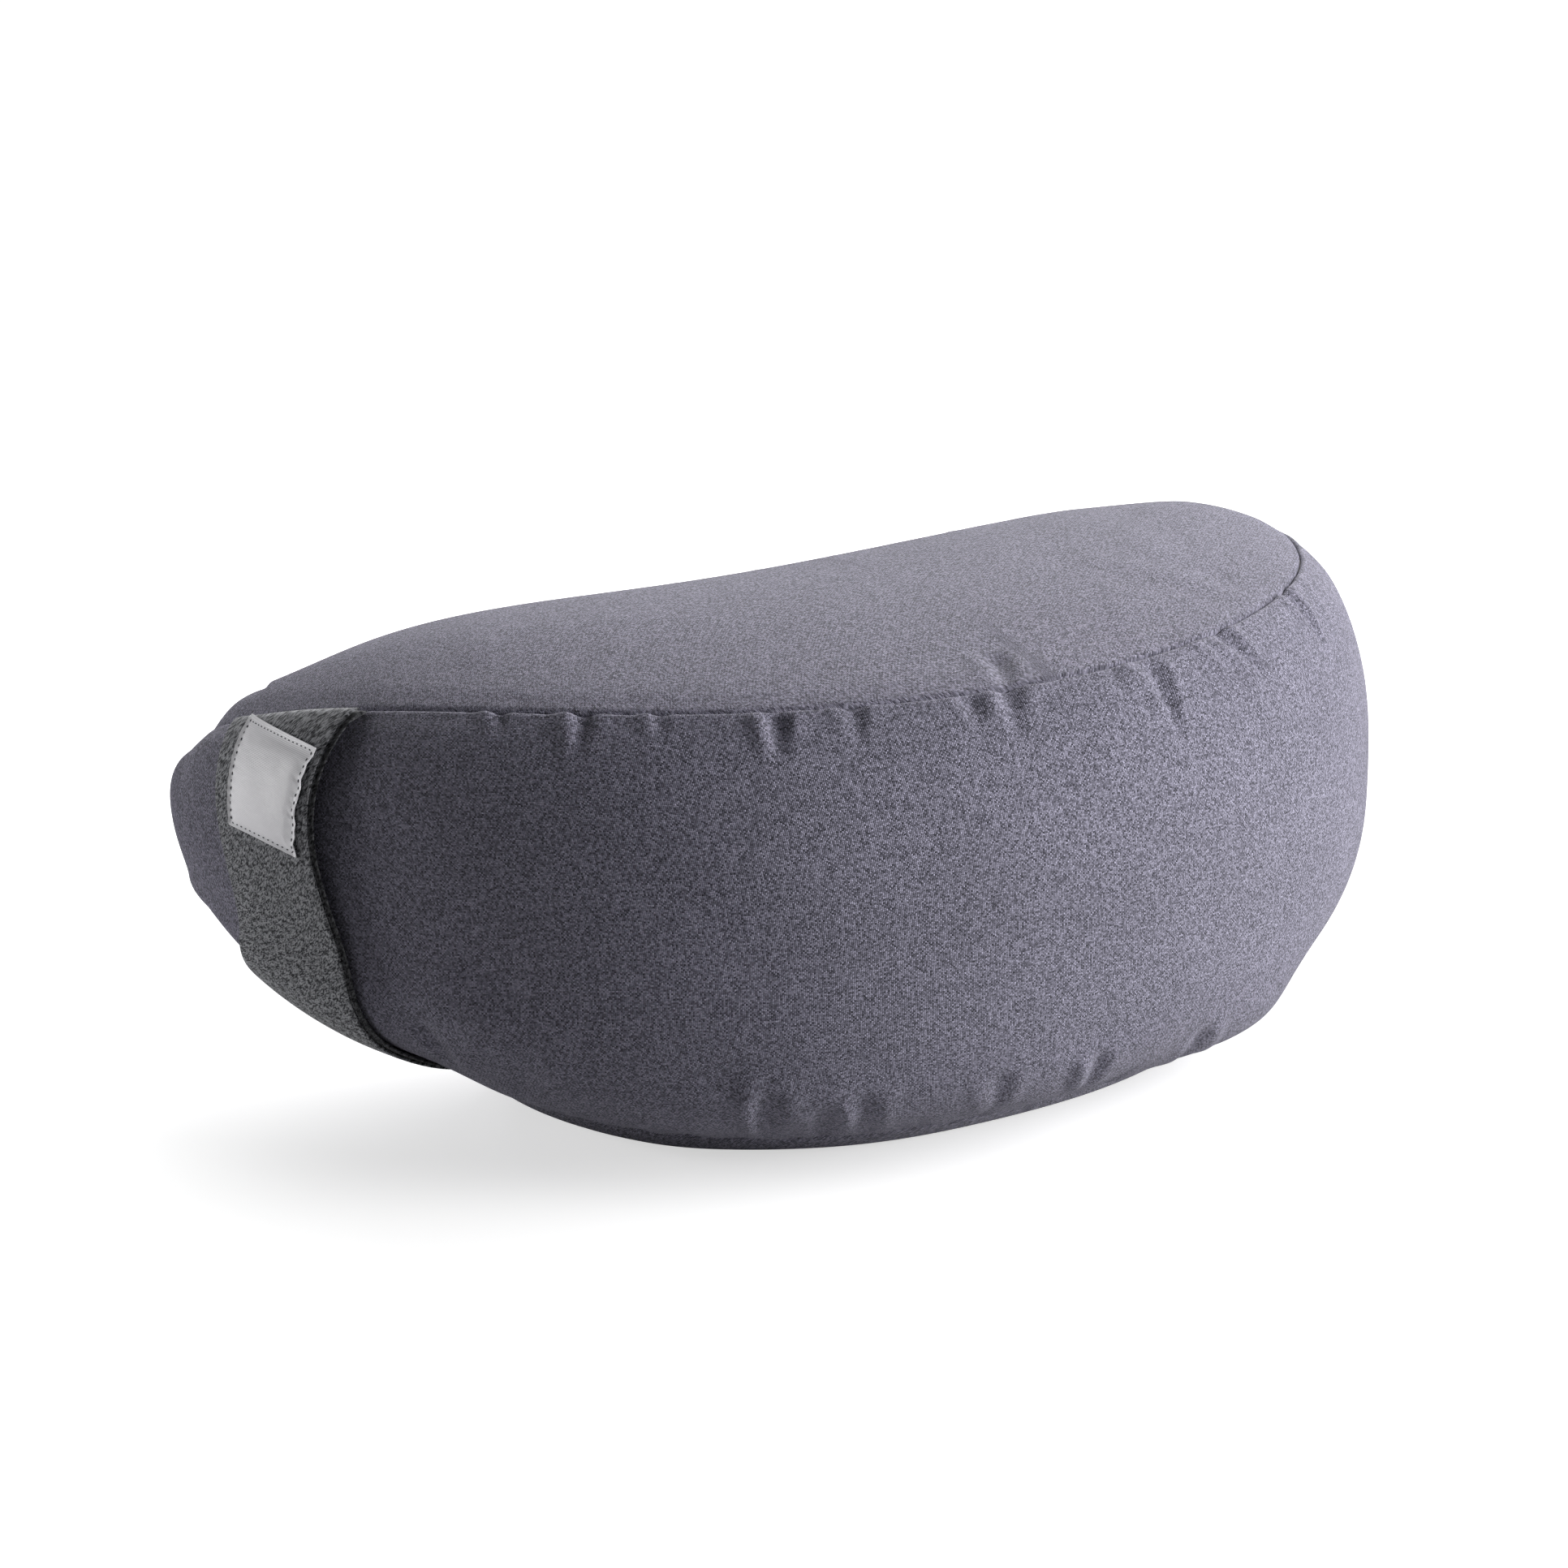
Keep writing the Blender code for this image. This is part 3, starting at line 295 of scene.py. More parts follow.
def face_plan(seam, run, across):
    """Plan points of a crescent face and its width, half a clearance inside the seam line."""
    run, across = np.broadcast_arrays(np.asarray(run, float), np.asarray(across, float))
    front, front_out = seam.at(run)
    hollow, hollow_out = seam.at(2.0 - run)
    front, hollow = front - front_out * CLEAR / 2, hollow - hollow_out * CLEAR / 2
    width = np.minimum(np.linalg.norm(front - hollow, axis=-1) / TOP.depth, 1.0)
    return front * (1.0 - across)[..., None] + hollow * across[..., None], width


def top_point(run, across):
    point, width = face_plan(TOP, run, across)
    dome = 1.0 - np.abs(2.0 * across - 1.0)**CROWN_POWER
    point[..., 2] = top_seam_z(run) + CROWN * width**0.8 * dome
    return point


def base_point(run, across):
    point, _ = face_plan(BASE, run, across)
    edge = 1.0 - (1.0 - np.abs(2.0 * across - 1.0)**4) * (1.0 - np.abs(run)**BASE_RISE_POWER)
    lift = np.maximum((edge - BASE_FLAT_SHARE) / (1.0 - BASE_FLAT_SHARE), 0.0)**1.5
    point[..., 2] = base_seam_z(run) * lift
    return point


def share_at(station, offset):
    """Height share of the side at an upright offset from the zip's centre line."""
    run = run_of(station)
    return WIDEST + offset / (top_seam_z(run) - base_seam_z(run))


def zip_station(angle):
    return 2.0 - angle * ZIP_ARC_RUN / ZIP_ARC_ANGLE


ZIP_RUN = float(run_of(zip_station(ZIP_HALF_ANGLE)))


def opening_half(station):
    """Half of the slot between the hollow-side panels: open at the zip, shut beyond it."""
    shut = smooth(run_of(station), ZIP_RUN + 0.005, ZIP_RUN + 0.045)
    return ZIP_OPENING / 2 * (1.0 - shut) + CLEAR / 2 * shut


def walked(points):
    """Length walked along a line of points."""
    steps = np.linalg.norm(np.diff(points, axis=0), axis=-1)
    return np.concatenate(([0.0], np.cumsum(steps)))


RING = np.linspace(-1.0, 3.0, 4001)
RING_WALK = walked(side_point(RING, WIDEST))
RING_EVEN = RING_WALK + TURN_WEIGHT * walked(TOP.at(RING)[0])
PROFILE = np.linspace(0.0, 1.0, 801)
PROFILE_WALK = walked(side_point(0.0, PROFILE))
SEAM_STEPS = np.array((0.0, 0.12, 0.35, 0.7, 1.15, 1.7, 2.4, 3.2)) * 1e-3


def even_stations(first, last, count):
    """Stations evenly spaced along the side, closer together round the horns."""
    walk = np.interp((first, last), RING, RING_EVEN)
    return np.interp(np.linspace(walk[0], walk[1], count + 1), RING_EVEN, RING)


def even_rows(low, high, count, seams=(True, True)):
    """Heights evenly spaced along the wall, with finer rows where an edge rolls into its seam."""
    start, end = np.interp((low, high), PROFILE, PROFILE_WALK)
    first = start + (SEAM_STEPS if seams[0] else SEAM_STEPS[:1])
    last = end - (SEAM_STEPS[::-1] if seams[1] else SEAM_STEPS[:1])
    middle = np.linspace(first[-1], last[0], count + 3 - len(first) - len(last))[1:-1]
    return np.interp(np.concatenate((first, middle, last)), PROFILE_WALK, PROFILE)


def seam_roll(inset, radius, dip):
    """How deep a panel's edge rolls into its seam at an inset from it, with a wider soft dip."""
    near = np.clip(1.0 - inset / radius, 0.0, 1.0)
    return radius * (1.0 - np.sqrt(1.0 - near * near)) + dip * (1.0 - smooth(inset, 0.0, 5.0 * radius))


def dent_field(points, dents):
    """Outward lift of points from dents: two ends, outward direction, half width and depth of each."""
    lift = np.zeros(points.shape[:-1])
    for start, end, out, width, depth in dents:
        axis = end - start
        length = np.linalg.norm(axis)
        axis = axis / length
        side = unit(np.cross(out, axis))
        away = points - start
        t, s, n = away @ axis / length, away @ side / width, away @ out / DENT_THICKNESS
        s = s / (1.15 - 0.40 * np.clip(t, 0.0, 1.5))
        fade = smooth(t, -0.30, 0.10) * (1.0 - smooth(t, 0.25, 1.55)) * np.exp(-n * n)
        shape = np.exp(-s * s) - DENT_RIM * np.exp(-((np.abs(s) - 1.9) / 0.9)**2)
        lift -= depth * fade * shape
    return lift


def swelled(points):
    """Points after the wide swells of the filled cover."""
    moved = points.copy()
    for middle, push, reach in SWELLS:
        away = (points - np.array(middle)) / np.array(reach)
        moved = moved + np.array(push) * np.exp(-np.sum(away * away, axis=-1))[..., None]
    return moved


def front_dents(rng_seed, count, depth):
    """The listed dents of the side, and small random puckers along both seams of the whole ring."""
    rng = np.random.default_rng(rng_seed)
    rows = list(FRONT_DENTS)
    for k in range(count):
        at_top = k % 3 != 0
        station = rng.uniform(-1.0, 3.0)
        if station < 0.45 and at_top:
            continue
        reach = rng.uniform(0.03, 0.11)
        slant = rng.normal(0.0, 0.01)
        ends = (1.0, 1.0 - reach) if at_top else (0.0, reach)
        size = depth * rng.uniform(0.25, 1.0) * (1.0 if rng.random() < 0.7 else -0.6)
        if at_top and station > 1.0:
            size = 0.3 * abs(size)
        rows.append((station, ends[0], station + slant, ends[1], rng.uniform(0.0022, 0.0042), size))
    made = []
    for g0, v0, g1, v1, width, size in rows:
        out = side_out(g0, 0.5 * (v0 + v1))
        made.append((side_point(g0, v0), side_point(g1, v1), out, width, size))
    return made


def under(lift, depth):
    """The outer skin's lift, or for an inner layer the lowest lift near each point, under every dent."""
    if np.max(depth) <= CANVAS / 2:
        return lift
    padded, low = np.pad(lift, 1, mode="edge"), lift
    for i in range(3):
        for j in range(3):
            low = np.minimum(low, padded[i:i + lift.shape[0], j:j + lift.shape[1]])
    return low


class SoftForm:
    """Small-scale swelling of the cover over the part's own form, shared by every layer."""

    def __init__(self, settings, fields):
        self.radius, self.dip = settings.seam_radius, settings.seam_dip
        self.side_dents = front_dents(settings.seed, settings.pucker_count, settings.pucker_depth)
        self.top_dents = []
        for x0, y0, x1, y1, width, depth in TOP_DENTS:
            ends = [np.array((x, y, TOP_DENT_HEIGHT)) for x, y in ((x0, y0), (x1, y1))]
            self.top_dents.append((*ends, UP, width, depth))
        self.fields = fields

    def dip_at(self, run):
        """Depth of the dip beside a seam, deeper at the horns."""
        return self.dip * (1.0 + HORN_CREASE * smooth(run, 0.80, 0.92))

    def side_lift(self, station, height, points):
        lift = dent_field(points, self.side_dents)
        if self.fields:
            lift = lift + self.fields.side(station, height)
        run = run_of(station)
        zipped = (station > 1.0) & (run < ZIP_RUN + 0.08)
        from_zip = np.abs(points[..., 2] - ZIP_HEIGHT)
        lift = lift * np.where(zipped, smooth(from_zip, 0.010, 0.030), 1.0)
        strap = smooth(-station, 0.64, 0.70) * (1.0 - smooth(-station, 0.96, 1.0)) * (station < 0)
        return np.where(strap > 0, np.minimum(lift, 0.0) * strap + lift * (1.0 - strap), lift)

    def side(self, station, height, depth):
        """Points of a skin of the side at a depth under its outer face."""
        station, height = np.broadcast_arrays(station, height)
        point, out = side_point(station, height), side_out(station, height)
        low, high = side_point(station, 0.0), side_point(station, 1.0)
        dip = self.dip_at(run_of(station))
        roll = [seam_roll(np.linalg.norm(point - end, axis=-1), self.radius, dip) for end in (low, high)]
        lift = under(self.side_lift(station, height, point), depth)
        made = point + out * (lift - depth)[..., None] + UP * (roll[0] - roll[1])[..., None]
        at_seam = np.where(height > 1.0 - AT_SEAM, 1.0, 0.0)[..., None] * TOP.at(station)[1]
        at_seam = at_seam + np.where(height < AT_SEAM, 1.0, 0.0)[..., None] * BASE.at(station)[1]
        return swelled(made + at_seam * CLEAR / 2)

    def top(self, run, across, depth):
        """Points of a skin of the top face at a depth under it."""
        point = top_point(run, across)
        roll = seam_roll(TOP.inset(point), self.radius, self.dip_at(np.abs(run)))
        lift = dent_field(point, self.top_dents)
        start, end, step = HORN_PLEAT
        start, end = np.array((*start, 0.0)), np.array((*end, 0.0))
        axis = unit(end - start)
        beyond = (point - start) @ np.array((axis[1], -axis[0], 0.0))
        lift = lift - step * smooth(beyond, -0.0002, 0.0020) * np.exp(-np.maximum(beyond, 0.0) / 0.010)
        if self.fields:
            lift = lift + self.fields.top(run, across)
        return swelled(point + UP * (under(lift, depth) - roll - depth)[..., None])

    def base(self, run, across, depth):
        """Points of a skin of the base face at a height over it; it stays on the floor."""
        point = base_point(run, across)
        roll = seam_roll(BASE.inset(point), self.radius, self.dip)
        return swelled(point + UP * (roll + depth)[..., None])


def sampled(grid, u, v):
    """Values of a grid at fractional places, with a smooth cubic curve between its points."""
    u, v = np.clip(u, 0.0, grid.shape[0] - 5.0), np.clip(v, 0.0, grid.shape[1] - 5.0)
    i, j = np.minimum(u.astype(int), grid.shape[0] - 6), np.minimum(v.astype(int), grid.shape[1] - 6)

    def weights(t):
        return (((2.0 - t) * t - 1.0) * t / 2, ((3.0 * t - 5.0) * t * t + 2.0) / 2,
                ((4.0 - 3.0 * t) * t + 1.0) * t / 2, (t - 1.0) * t * t / 2)
    total = 0.0
    for a, along in enumerate(weights(u - i)):
        for b, over in enumerate(weights(v - j)):
            total = total + along * over * grid[i + a + 1, j + b + 1]
    return total


def blurred(grid, cells, wrap):
    """A grid after a wide soft blur, closed on itself along its first axis if it wraps."""
    reach = int(3 * cells)
    kernel = np.exp(-0.5 * (np.arange(-reach, reach + 1) / cells)**2)
    kernel /= kernel.sum()
    for axis, mode in ((0, "wrap" if wrap else "edge"), (1, "edge")):
        pads = [(reach, reach) if k == axis else (0, 0) for k in (0, 1)]
        wide = np.pad(grid, pads, mode=mode)
        grid = np.apply_along_axis(lambda row: np.convolve(row, kernel, "valid"), axis, wide)
    return grid


def closed_skin(form, runs, shares, heights, depth, pocket):
    """Points and faces of one closed skin under every panel, with its top's and its wall's vertex numbers."""
    run, across = np.meshgrid(runs, shares, indexing="ij")
    top, base = form.top(run, across, depth), form.base(run, across, depth)
    ring = np.concatenate((runs[:-1], (2.0 - runs[::-1])[:-1]))
    station, height = np.meshgrid(ring, heights, indexing="ij")
    wall = form.side(station, height, depth + pocket(station, height))
    top_index = np.arange(top[..., 0].size).reshape(top.shape[:2])
    base_index = top_index.size + top_index
    wall_index = 2 * top_index.size + np.arange(wall[..., 0].size).reshape(wall.shape[:2])

    def rim(index):
        return np.concatenate((index[:, 0], index[::-1, -1][1:-1]))
    columns = np.concatenate((rim(base_index)[:, None], wall_index, rim(top_index)[:, None]), axis=1)
    columns = np.concatenate((columns, columns[:1]))
    if columns.shape[0] != 2 * len(runs) - 1:
        raise ValueError("the skin's rings don't meet")
    faces = quads(top_index) + quads(base_index) + quads(columns)
    points = np.concatenate((top.reshape(-1, 3), base.reshape(-1, 3), wall.reshape(-1, 3)))
    return points, faces, top_index, columns


class Billow:
    """Small folds of the filled cover: a cloth simulation with air in it and cloth eased into its seams."""

    def __init__(self, settings, form):
        self.runs, self.shares = even_stations(-1.0, 1.0, 100), np.linspace(0.0, 1.0, 27)
        heights = np.interp(np.linspace(0.0, 1.0, 34), PROFILE_WALK / PROFILE_WALK[-1], PROFILE)[1:-1]
        points, faces, top_index, columns = closed_skin(form, self.runs, self.shares, heights, 0.0,
                                                        lambda station, height: 0.0 * height)
        self.ring = np.concatenate((self.runs[:-1], 2.0 - self.runs[::-1]))
        self.heights = np.concatenate(([0.0], heights, [1.0]))
        spots, merged = np.unique(np.round(points, 5), axis=0, return_inverse=True)
        merged = merged.ravel()
        corners = [[int(v) for v in dict.fromkeys(merged[list(face)])] for face in faces]
        mesh = bpy.data.meshes.new("billow")
        mesh.from_pydata(spots.tolist(), [], [face for face in corners if len(face) > 2])
        shaped = bmesh.new()
        shaped.from_mesh(mesh)
        bmesh.ops.recalc_face_normals(shaped, faces=shaped.faces)
        shaped.to_mesh(mesh)
        shaped.free()
        loose = np.zeros(len(spots))
        chance = np.random.default_rng(settings.seed + 1)
        for edge in (columns[:, :8], columns[:, :-9:-1], top_index[:, :6], top_index[:, :-7:-1]):
            eased = chance.uniform(0.0, 1.0, len(edge) + 4)
            eased = smooth(np.convolve(eased, (0.15, 0.25, 0.2, 0.25, 0.15), "valid"), 0.42, 0.66)
            for row in range(1, edge.shape[1]):
                loose[merged[edge[:, row]]] = np.round(eased * (1.0 - (row - 1) / edge.shape[1]), 2)
        seams = np.concatenate((merged[columns[:, 0]], merged[columns[:, -1]]))
        loose[seams] = 0.0
        moved = self.inflated(mesh, spots, np.unique(seams), loose, settings)
        out = np.empty(len(spots) * 3)
        mesh.vertex_normals.foreach_get("vector", out)
        lift = np.sum((moved - spots) * out.reshape(-1, 3), axis=-1)[merged]
        if not np.all(np.isfinite(lift)) or np.abs(lift).max() > 0.03:
            raise RuntimeError("the simulated cover came apart")
        wall, top = self.folds(lift[columns[:-1]], True), self.folds(lift[top_index], False)
        ring, high = self.ring[:-1], settings.fold_height
        inward = np.where(ring < 1.0, 1.0 - np.abs(ring), np.abs(2.0 - ring) - 1.0)
        front, tip = smooth(inward, -0.03, 0.03), 1.0 - 0.8 * smooth(-np.abs(inward), -0.14, -0.03)
        wall = (self.evened(wall * (front * tip)[:, None], high)
                + self.evened(wall * ((1.0 - front) * tip)[:, None], 0.75 * high))
        self.wall = np.pad(np.pad(wall, ((2, 3), (0, 0)), mode="wrap"), ((0, 0), (2, 2)), mode="edge")
        self.face = np.pad(self.evened(top, 0.6 * high), 2, mode="edge")
        bpy.data.meshes.remove(mesh)

    @staticmethod
    def folds(lift, wrap):
        """The small folds of a grid of lifts, without its broad swell and its single points."""
        return blurred(lift, 0.7, wrap) - blurred(lift, 4.0, wrap)

    @staticmethod
    def evened(folds, height):
        """Folds brought to one height, with none much higher."""
        return 1.5 * height * np.tanh(folds / max(np.quantile(np.abs(folds), 0.97), 1e-6) / 1.5)

    def inflated(self, mesh, spots, seams, loose, settings):
        """Places of the mesh's points after the simulation."""
        scene = bpy.context.scene
        body = placed("billow", mesh)
        held, eased = body.vertex_groups.new(name="held"), body.vertex_groups.new(name="eased")
        held.add(list(range(len(spots))), 0.04, "REPLACE")
        held.add(np.nonzero(spots[:, 2] < 0.004)[0].tolist(), 1.0, "REPLACE")
        held.add(seams.tolist(), 1.0, "REPLACE")
        for weight in np.unique(loose[loose > 0]):
            eased.add(np.nonzero(loose == weight)[0].tolist(), float(weight), "REPLACE")
        cloth = body.modifiers.new("air", "CLOTH")
        rules = cloth.settings
        rules.quality, rules.mass = 5, 0.25
        rules.tension_stiffness = rules.compression_stiffness = 18.0
        rules.shear_stiffness, rules.bending_stiffness = 8.0, settings.stiffness
        rules.use_pressure, rules.uniform_pressure_force = True, settings.pressure
        rules.vertex_group_mass, rules.vertex_group_shrink = "held", "eased"
        rules.shrink_min, rules.shrink_max = 0.0, -settings.eased_in
        rules.effector_weights.gravity = 0.0
        cloth.collision_settings.use_collision = False
        for frame_number in range(1, SIMULATED_FRAMES + 1):
            scene.frame_set(frame_number)
        shape = body.evaluated_get(bpy.context.evaluated_depsgraph_get()).to_mesh()
        moved = np.empty(len(spots) * 3)
        shape.vertices.foreach_get("co", moved)
        bpy.data.objects.remove(body)
        scene.frame_set(1)
        return moved.reshape(-1, 3)

    def side(self, station, height):
        """Lift of the side's folds, none at the seams themselves."""
        u = np.interp(station, self.ring, np.arange(len(self.ring)))
        v = np.interp(height, self.heights, np.arange(len(self.heights)))
        near = np.minimum(v, len(self.heights) - 1 - v)
        return sampled(self.wall, u, v) * smooth(near, 0.0, np.where(np.abs(station) < 1.0, 0.8, 3.0))

    def top(self, run, across):
        """Lift of the top's folds, none at the seam itself."""
        u = np.interp(run, self.runs, np.arange(len(self.runs)))
        v = np.interp(across, self.shares, np.arange(len(self.shares)))
        near = np.minimum(v, len(self.shares) - 1 - v)
        return sampled(self.face, u, v) * smooth(near, 0.0, 3.0) * smooth(1.0 - np.abs(run), 0.0, 0.02)


def placed(name, data):
    """A new object in the scene."""
    made = bpy.data.objects.new(name, data)
    bpy.context.scene.collection.objects.link(made)
    return made


def quads(index):
    """Faces of a grid of vertex numbers."""
    a, b, c, d = index[:-1, :-1], index[1:, :-1], index[1:, 1:], index[:-1, 1:]
    return np.stack((a, b, c, d), -1).reshape(-1, 4).tolist()


def border(index):
    """Vertex numbers once round the rim of a grid."""
    return np.concatenate((index[:-1, 0], index[-1, :-1], index[:0:-1, -1], index[0, :0:-1])).tolist()


def finish_mesh(name, points, faces, flat, look, join=2e-6):
    """A named object that rides on the cover, with its cloth map, one material and its faces pointing out."""
    mesh = bpy.data.meshes.new(name)
    mesh.from_pydata(points.tolist(), [], faces)
    if flat is not None:
        vertex = np.empty(len(mesh.loops), np.int32)
        mesh.loops.foreach_get("vertex_index", vertex)
        cut = flat[vertex].astype(np.float32).ravel()
        mesh.uv_layers.new(name="cut_cloth").data.foreach_set("uv", cut)
    shaped = bmesh.new()
    shaped.from_mesh(mesh)
    bmesh.ops.remove_doubles(shaped, verts=shaped.verts, dist=join)
    bmesh.ops.dissolve_degenerate(shaped, edges=shaped.edges, dist=1e-7)
    bmesh.ops.recalc_face_normals(shaped, faces=shaped.faces)
    shaped.to_mesh(mesh)
    shaped.free()
    mesh.materials.append(look)
    mesh.shade_smooth()
    mesh.set_sharp_from_angle(angle=SHARP_ANGLE)
    made = placed(name, mesh)
    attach(made, "cover")
    return made


def cloth_shell(name, outer, inner, flat, look):
    """Closed cloth: a fine outer grid, every fourth point of the inner one and a rim between them."""
    rows, columns = outer.shape[:2]
    if (rows - 1) % THINNED or (columns - 1) % THINNED:
        raise ValueError(f"{name}: a grid of {rows} x {columns} can't be thinned by {THINNED}")
    few = inner[::THINNED, ::THINNED]
    few_flat = flat[::THINNED, ::THINNED] + np.linalg.norm(outer[0, 0] - inner[0, 0])
    above = np.arange(rows * columns).reshape(rows, columns)
    below = rows * columns + np.arange(few.shape[0] * few.shape[1]).reshape(few.shape[:2])
    faces = quads(above) + [face[::-1] for face in quads(below)]
    fine, coarse = border(above), border(below)
    for k, low in enumerate(coarse):
        strip = [fine[(k * THINNED + i) % len(fine)] for i in range(THINNED, -1, -1)]
        faces.append(strip + [low, coarse[(k + 1) % len(coarse)]])
    points = np.concatenate((outer.reshape(-1, 3), few.reshape(-1, 3)))
    flats = np.concatenate((flat.reshape(-1, 2), few_flat.reshape(-1, 2)))
    return finish_mesh(name, points, faces, flats, look)


def as_sheet(made, width, length, held, rests_on):
    """Takes a closed cloth and the size of its cut; it only turns what the cloth rests on into a list."""
    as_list(rests_on)


def side_flat(stations, points):
    """Cloth map of a strip of the side: metres along the strip, metres up its wall."""
    along = np.interp(stations, RING, RING_WALK)
    steps = np.linalg.norm(np.diff(points, axis=1), axis=-1)
    up = np.concatenate((np.zeros((len(stations), 1)), np.cumsum(steps, axis=1)), axis=1)
    return np.stack((np.broadcast_to(along[:, None], up.shape), up), -1)


def side_strip(name, form, stations, heights, depth, cloth, look):
    """A strip of the side as closed cloth; its heights are one row, or a row for each station."""
    station, heights = np.broadcast_arrays(stations[:, None], heights)
    outer, inner = form.side(station, heights, depth), form.side(station, heights, depth + cloth)
    return cloth_shell(name, outer, inner, side_flat(stations, outer), look)


def crescent_face(name, place, depth, cloth, runs, shares, look):
    """A top or base face as closed cloth. Its map is its plan, drawn out where it slopes to the horns."""
    run, across = np.meshgrid(runs, shares, indexing="ij")
    outer, inner = place(run, across, depth), place(run, across, depth + cloth)
    drop = np.abs(outer[..., 2] - outer[len(runs) // 2, len(shares) // 2, 2])
    flat = np.stack((outer[..., 0] + 0.8 * np.sign(run) * drop, outer[..., 1] + 0.5 * drop), -1)
    return cloth_shell(name, outer, inner, flat, look)


def edge_shares(count, width):
    """Shares from 0 to 1 over a width, finer where both edges roll into their seams."""
    edge = SEAM_STEPS / width
    middle = np.linspace(edge[-1], 1.0 - edge[-1], count + 3 - 2 * len(edge))[1:-1]
    return np.concatenate((edge, middle, 1.0 - edge[::-1]))


class Nodes:
    """Fills a node tree: add() makes a node, sets or links its inputs and gives an output."""

    def __init__(self, tree):
        self.tree = tree

    def feed(self, socket, value):
        """Links an output to an input, or gives the input a plain value."""
        if isinstance(value, bpy.types.NodeSocket):
            self.tree.links.new(value, socket)
        elif socket.type == "RGBA":
            socket.default_value = (*value[:3], 1.0)
        else:
            socket.default_value = value

    def add(self, kind, inputs=(), out=0, **settings):
        node = self.tree.nodes.new(kind)
        for key, value in settings.items():
            setattr(node, key, value)
        for key, value in dict(inputs).items():
            self.feed(node.inputs[key], value)
        return node.outputs[out]

    def math(self, operation, a, b=0.0):
        return self.add("ShaderNodeMath", {0: a, 1: b}, operation=operation)

    def plus(self, a, b):
        return self.math("ADD", a, b)

    def minus(self, a, b):
        return self.math("SUBTRACT", a, b)

    def times(self, a, b):
        return self.math("MULTIPLY", a, b)

    def parts(self, vector):
        """The x, y and z of a vector."""
        return self.add("ShaderNodeSeparateXYZ", {0: vector}).node.outputs


class Look(Nodes):
    """A material and its nodes."""

    def __init__(self, name):
        self.material = bpy.data.materials.new(name)
        self.material.use_nodes = True
        super().__init__(self.material.node_tree)
        self.shader = self.tree.nodes["Principled BSDF"]

    def mix(self, factor, a, b):
        """Mix of two colours, either of which may be an output or three numbers."""
        return self.add("ShaderNodeMix", {0: factor, 6: a, 7: b}, out=2, data_type="RGBA")

    def shade(self, colour, factor):
        """A colour, or a place, times a number."""
        return self.add("ShaderNodeVectorMath", {0: colour, "Scale": factor}, operation="SCALE")

    def ramp(self, value, low, high, to_low=0.0, to_high=1.0):
        return self.add("ShaderNodeMapRange", {0: value, 1: low, 2: high, 3: to_low, 4: to_high},
                        interpolation_type="SMOOTHSTEP")

    def place(self, scale=(1.0, 1.0, 1.0), turn=0.0, source="cloth"):
        """Coordinates of the cloth map or of the object, turned and then scaled."""
        if source == "cloth":
            vector = self.add("ShaderNodeUVMap", uv_map="cut_cloth")
        else:
            vector = self.add("ShaderNodeTexCoord", out=3)
        turned = self.add("ShaderNodeMapping", {0: vector, "Rotation": (0.0, 0.0, turn)})
        return self.add("ShaderNodeMapping", {0: turned, "Scale": scale})

    def noise(self, vector, scale, detail=2.0, roughness=0.5):
        return self.add("ShaderNodeTexNoise", {"Vector": vector, "Scale": scale, "Detail": detail,
                                               "Roughness": roughness})

    def bump(self, height, distance, strength=1.0, under=None):
        inputs = {"Height": height, "Distance": distance, "Strength": strength}
        if under is not None:
            inputs["Normal"] = under
        return self.add("ShaderNodeBump", inputs)

    def finish(self, colour, roughness, normal=None, **constants):
        """Links colour, roughness and normal, and sets the shader's other sockets."""
        sockets = {"Base Color": colour, "Roughness": roughness, "Normal": normal}
        sockets.update((key.replace("_", " "), value) for key, value in constants.items())
        for key, value in sockets.items():
            if value is not None:
                self.feed(self.shader.inputs[key], value)
        return self.material


def weave_nodes(look, pitch, waver):
    """Plain weave on the cloth map: which thread is on top, its height, and a random value a crossing."""
    flat = look.place()
    drift = look.times(look.minus(look.noise(flat, 60.0, 1.0), 0.5), waver)
    grid = look.add("ShaderNodeVectorMath", {0: look.shade(flat, 1.0 / pitch), 1: drift}, operation="ADD")
    ways = look.parts(grid)[:2]
    cell = [look.math("FLOOR", way) for way in ways]
    rounds = []
    for way in ways:
        centred = look.minus(look.math("FRACT", way), 0.5)
        rounds.append(look.times(centred, centred))
    on_top = look.math("FLOORED_MODULO", look.plus(*cell), 2.0)
    heights = [look.times(look.minus(1.0, look.times(across, 3.6)), look.minus(1.0, look.times(along, 2.2)))
               for across, along in (rounds, rounds[::-1])]
    height = look.add("ShaderNodeMix", {0: on_top, 2: heights[0], 3: heights[1]}, data_type="FLOAT")
    at = look.add("ShaderNodeCombineXYZ", {0: cell[0], 1: cell[1]})
    melange = look.add("ShaderNodeTexWhiteNoise", {"Vector": at}, noise_dimensions="2D")
    return on_top, height, melange, flat


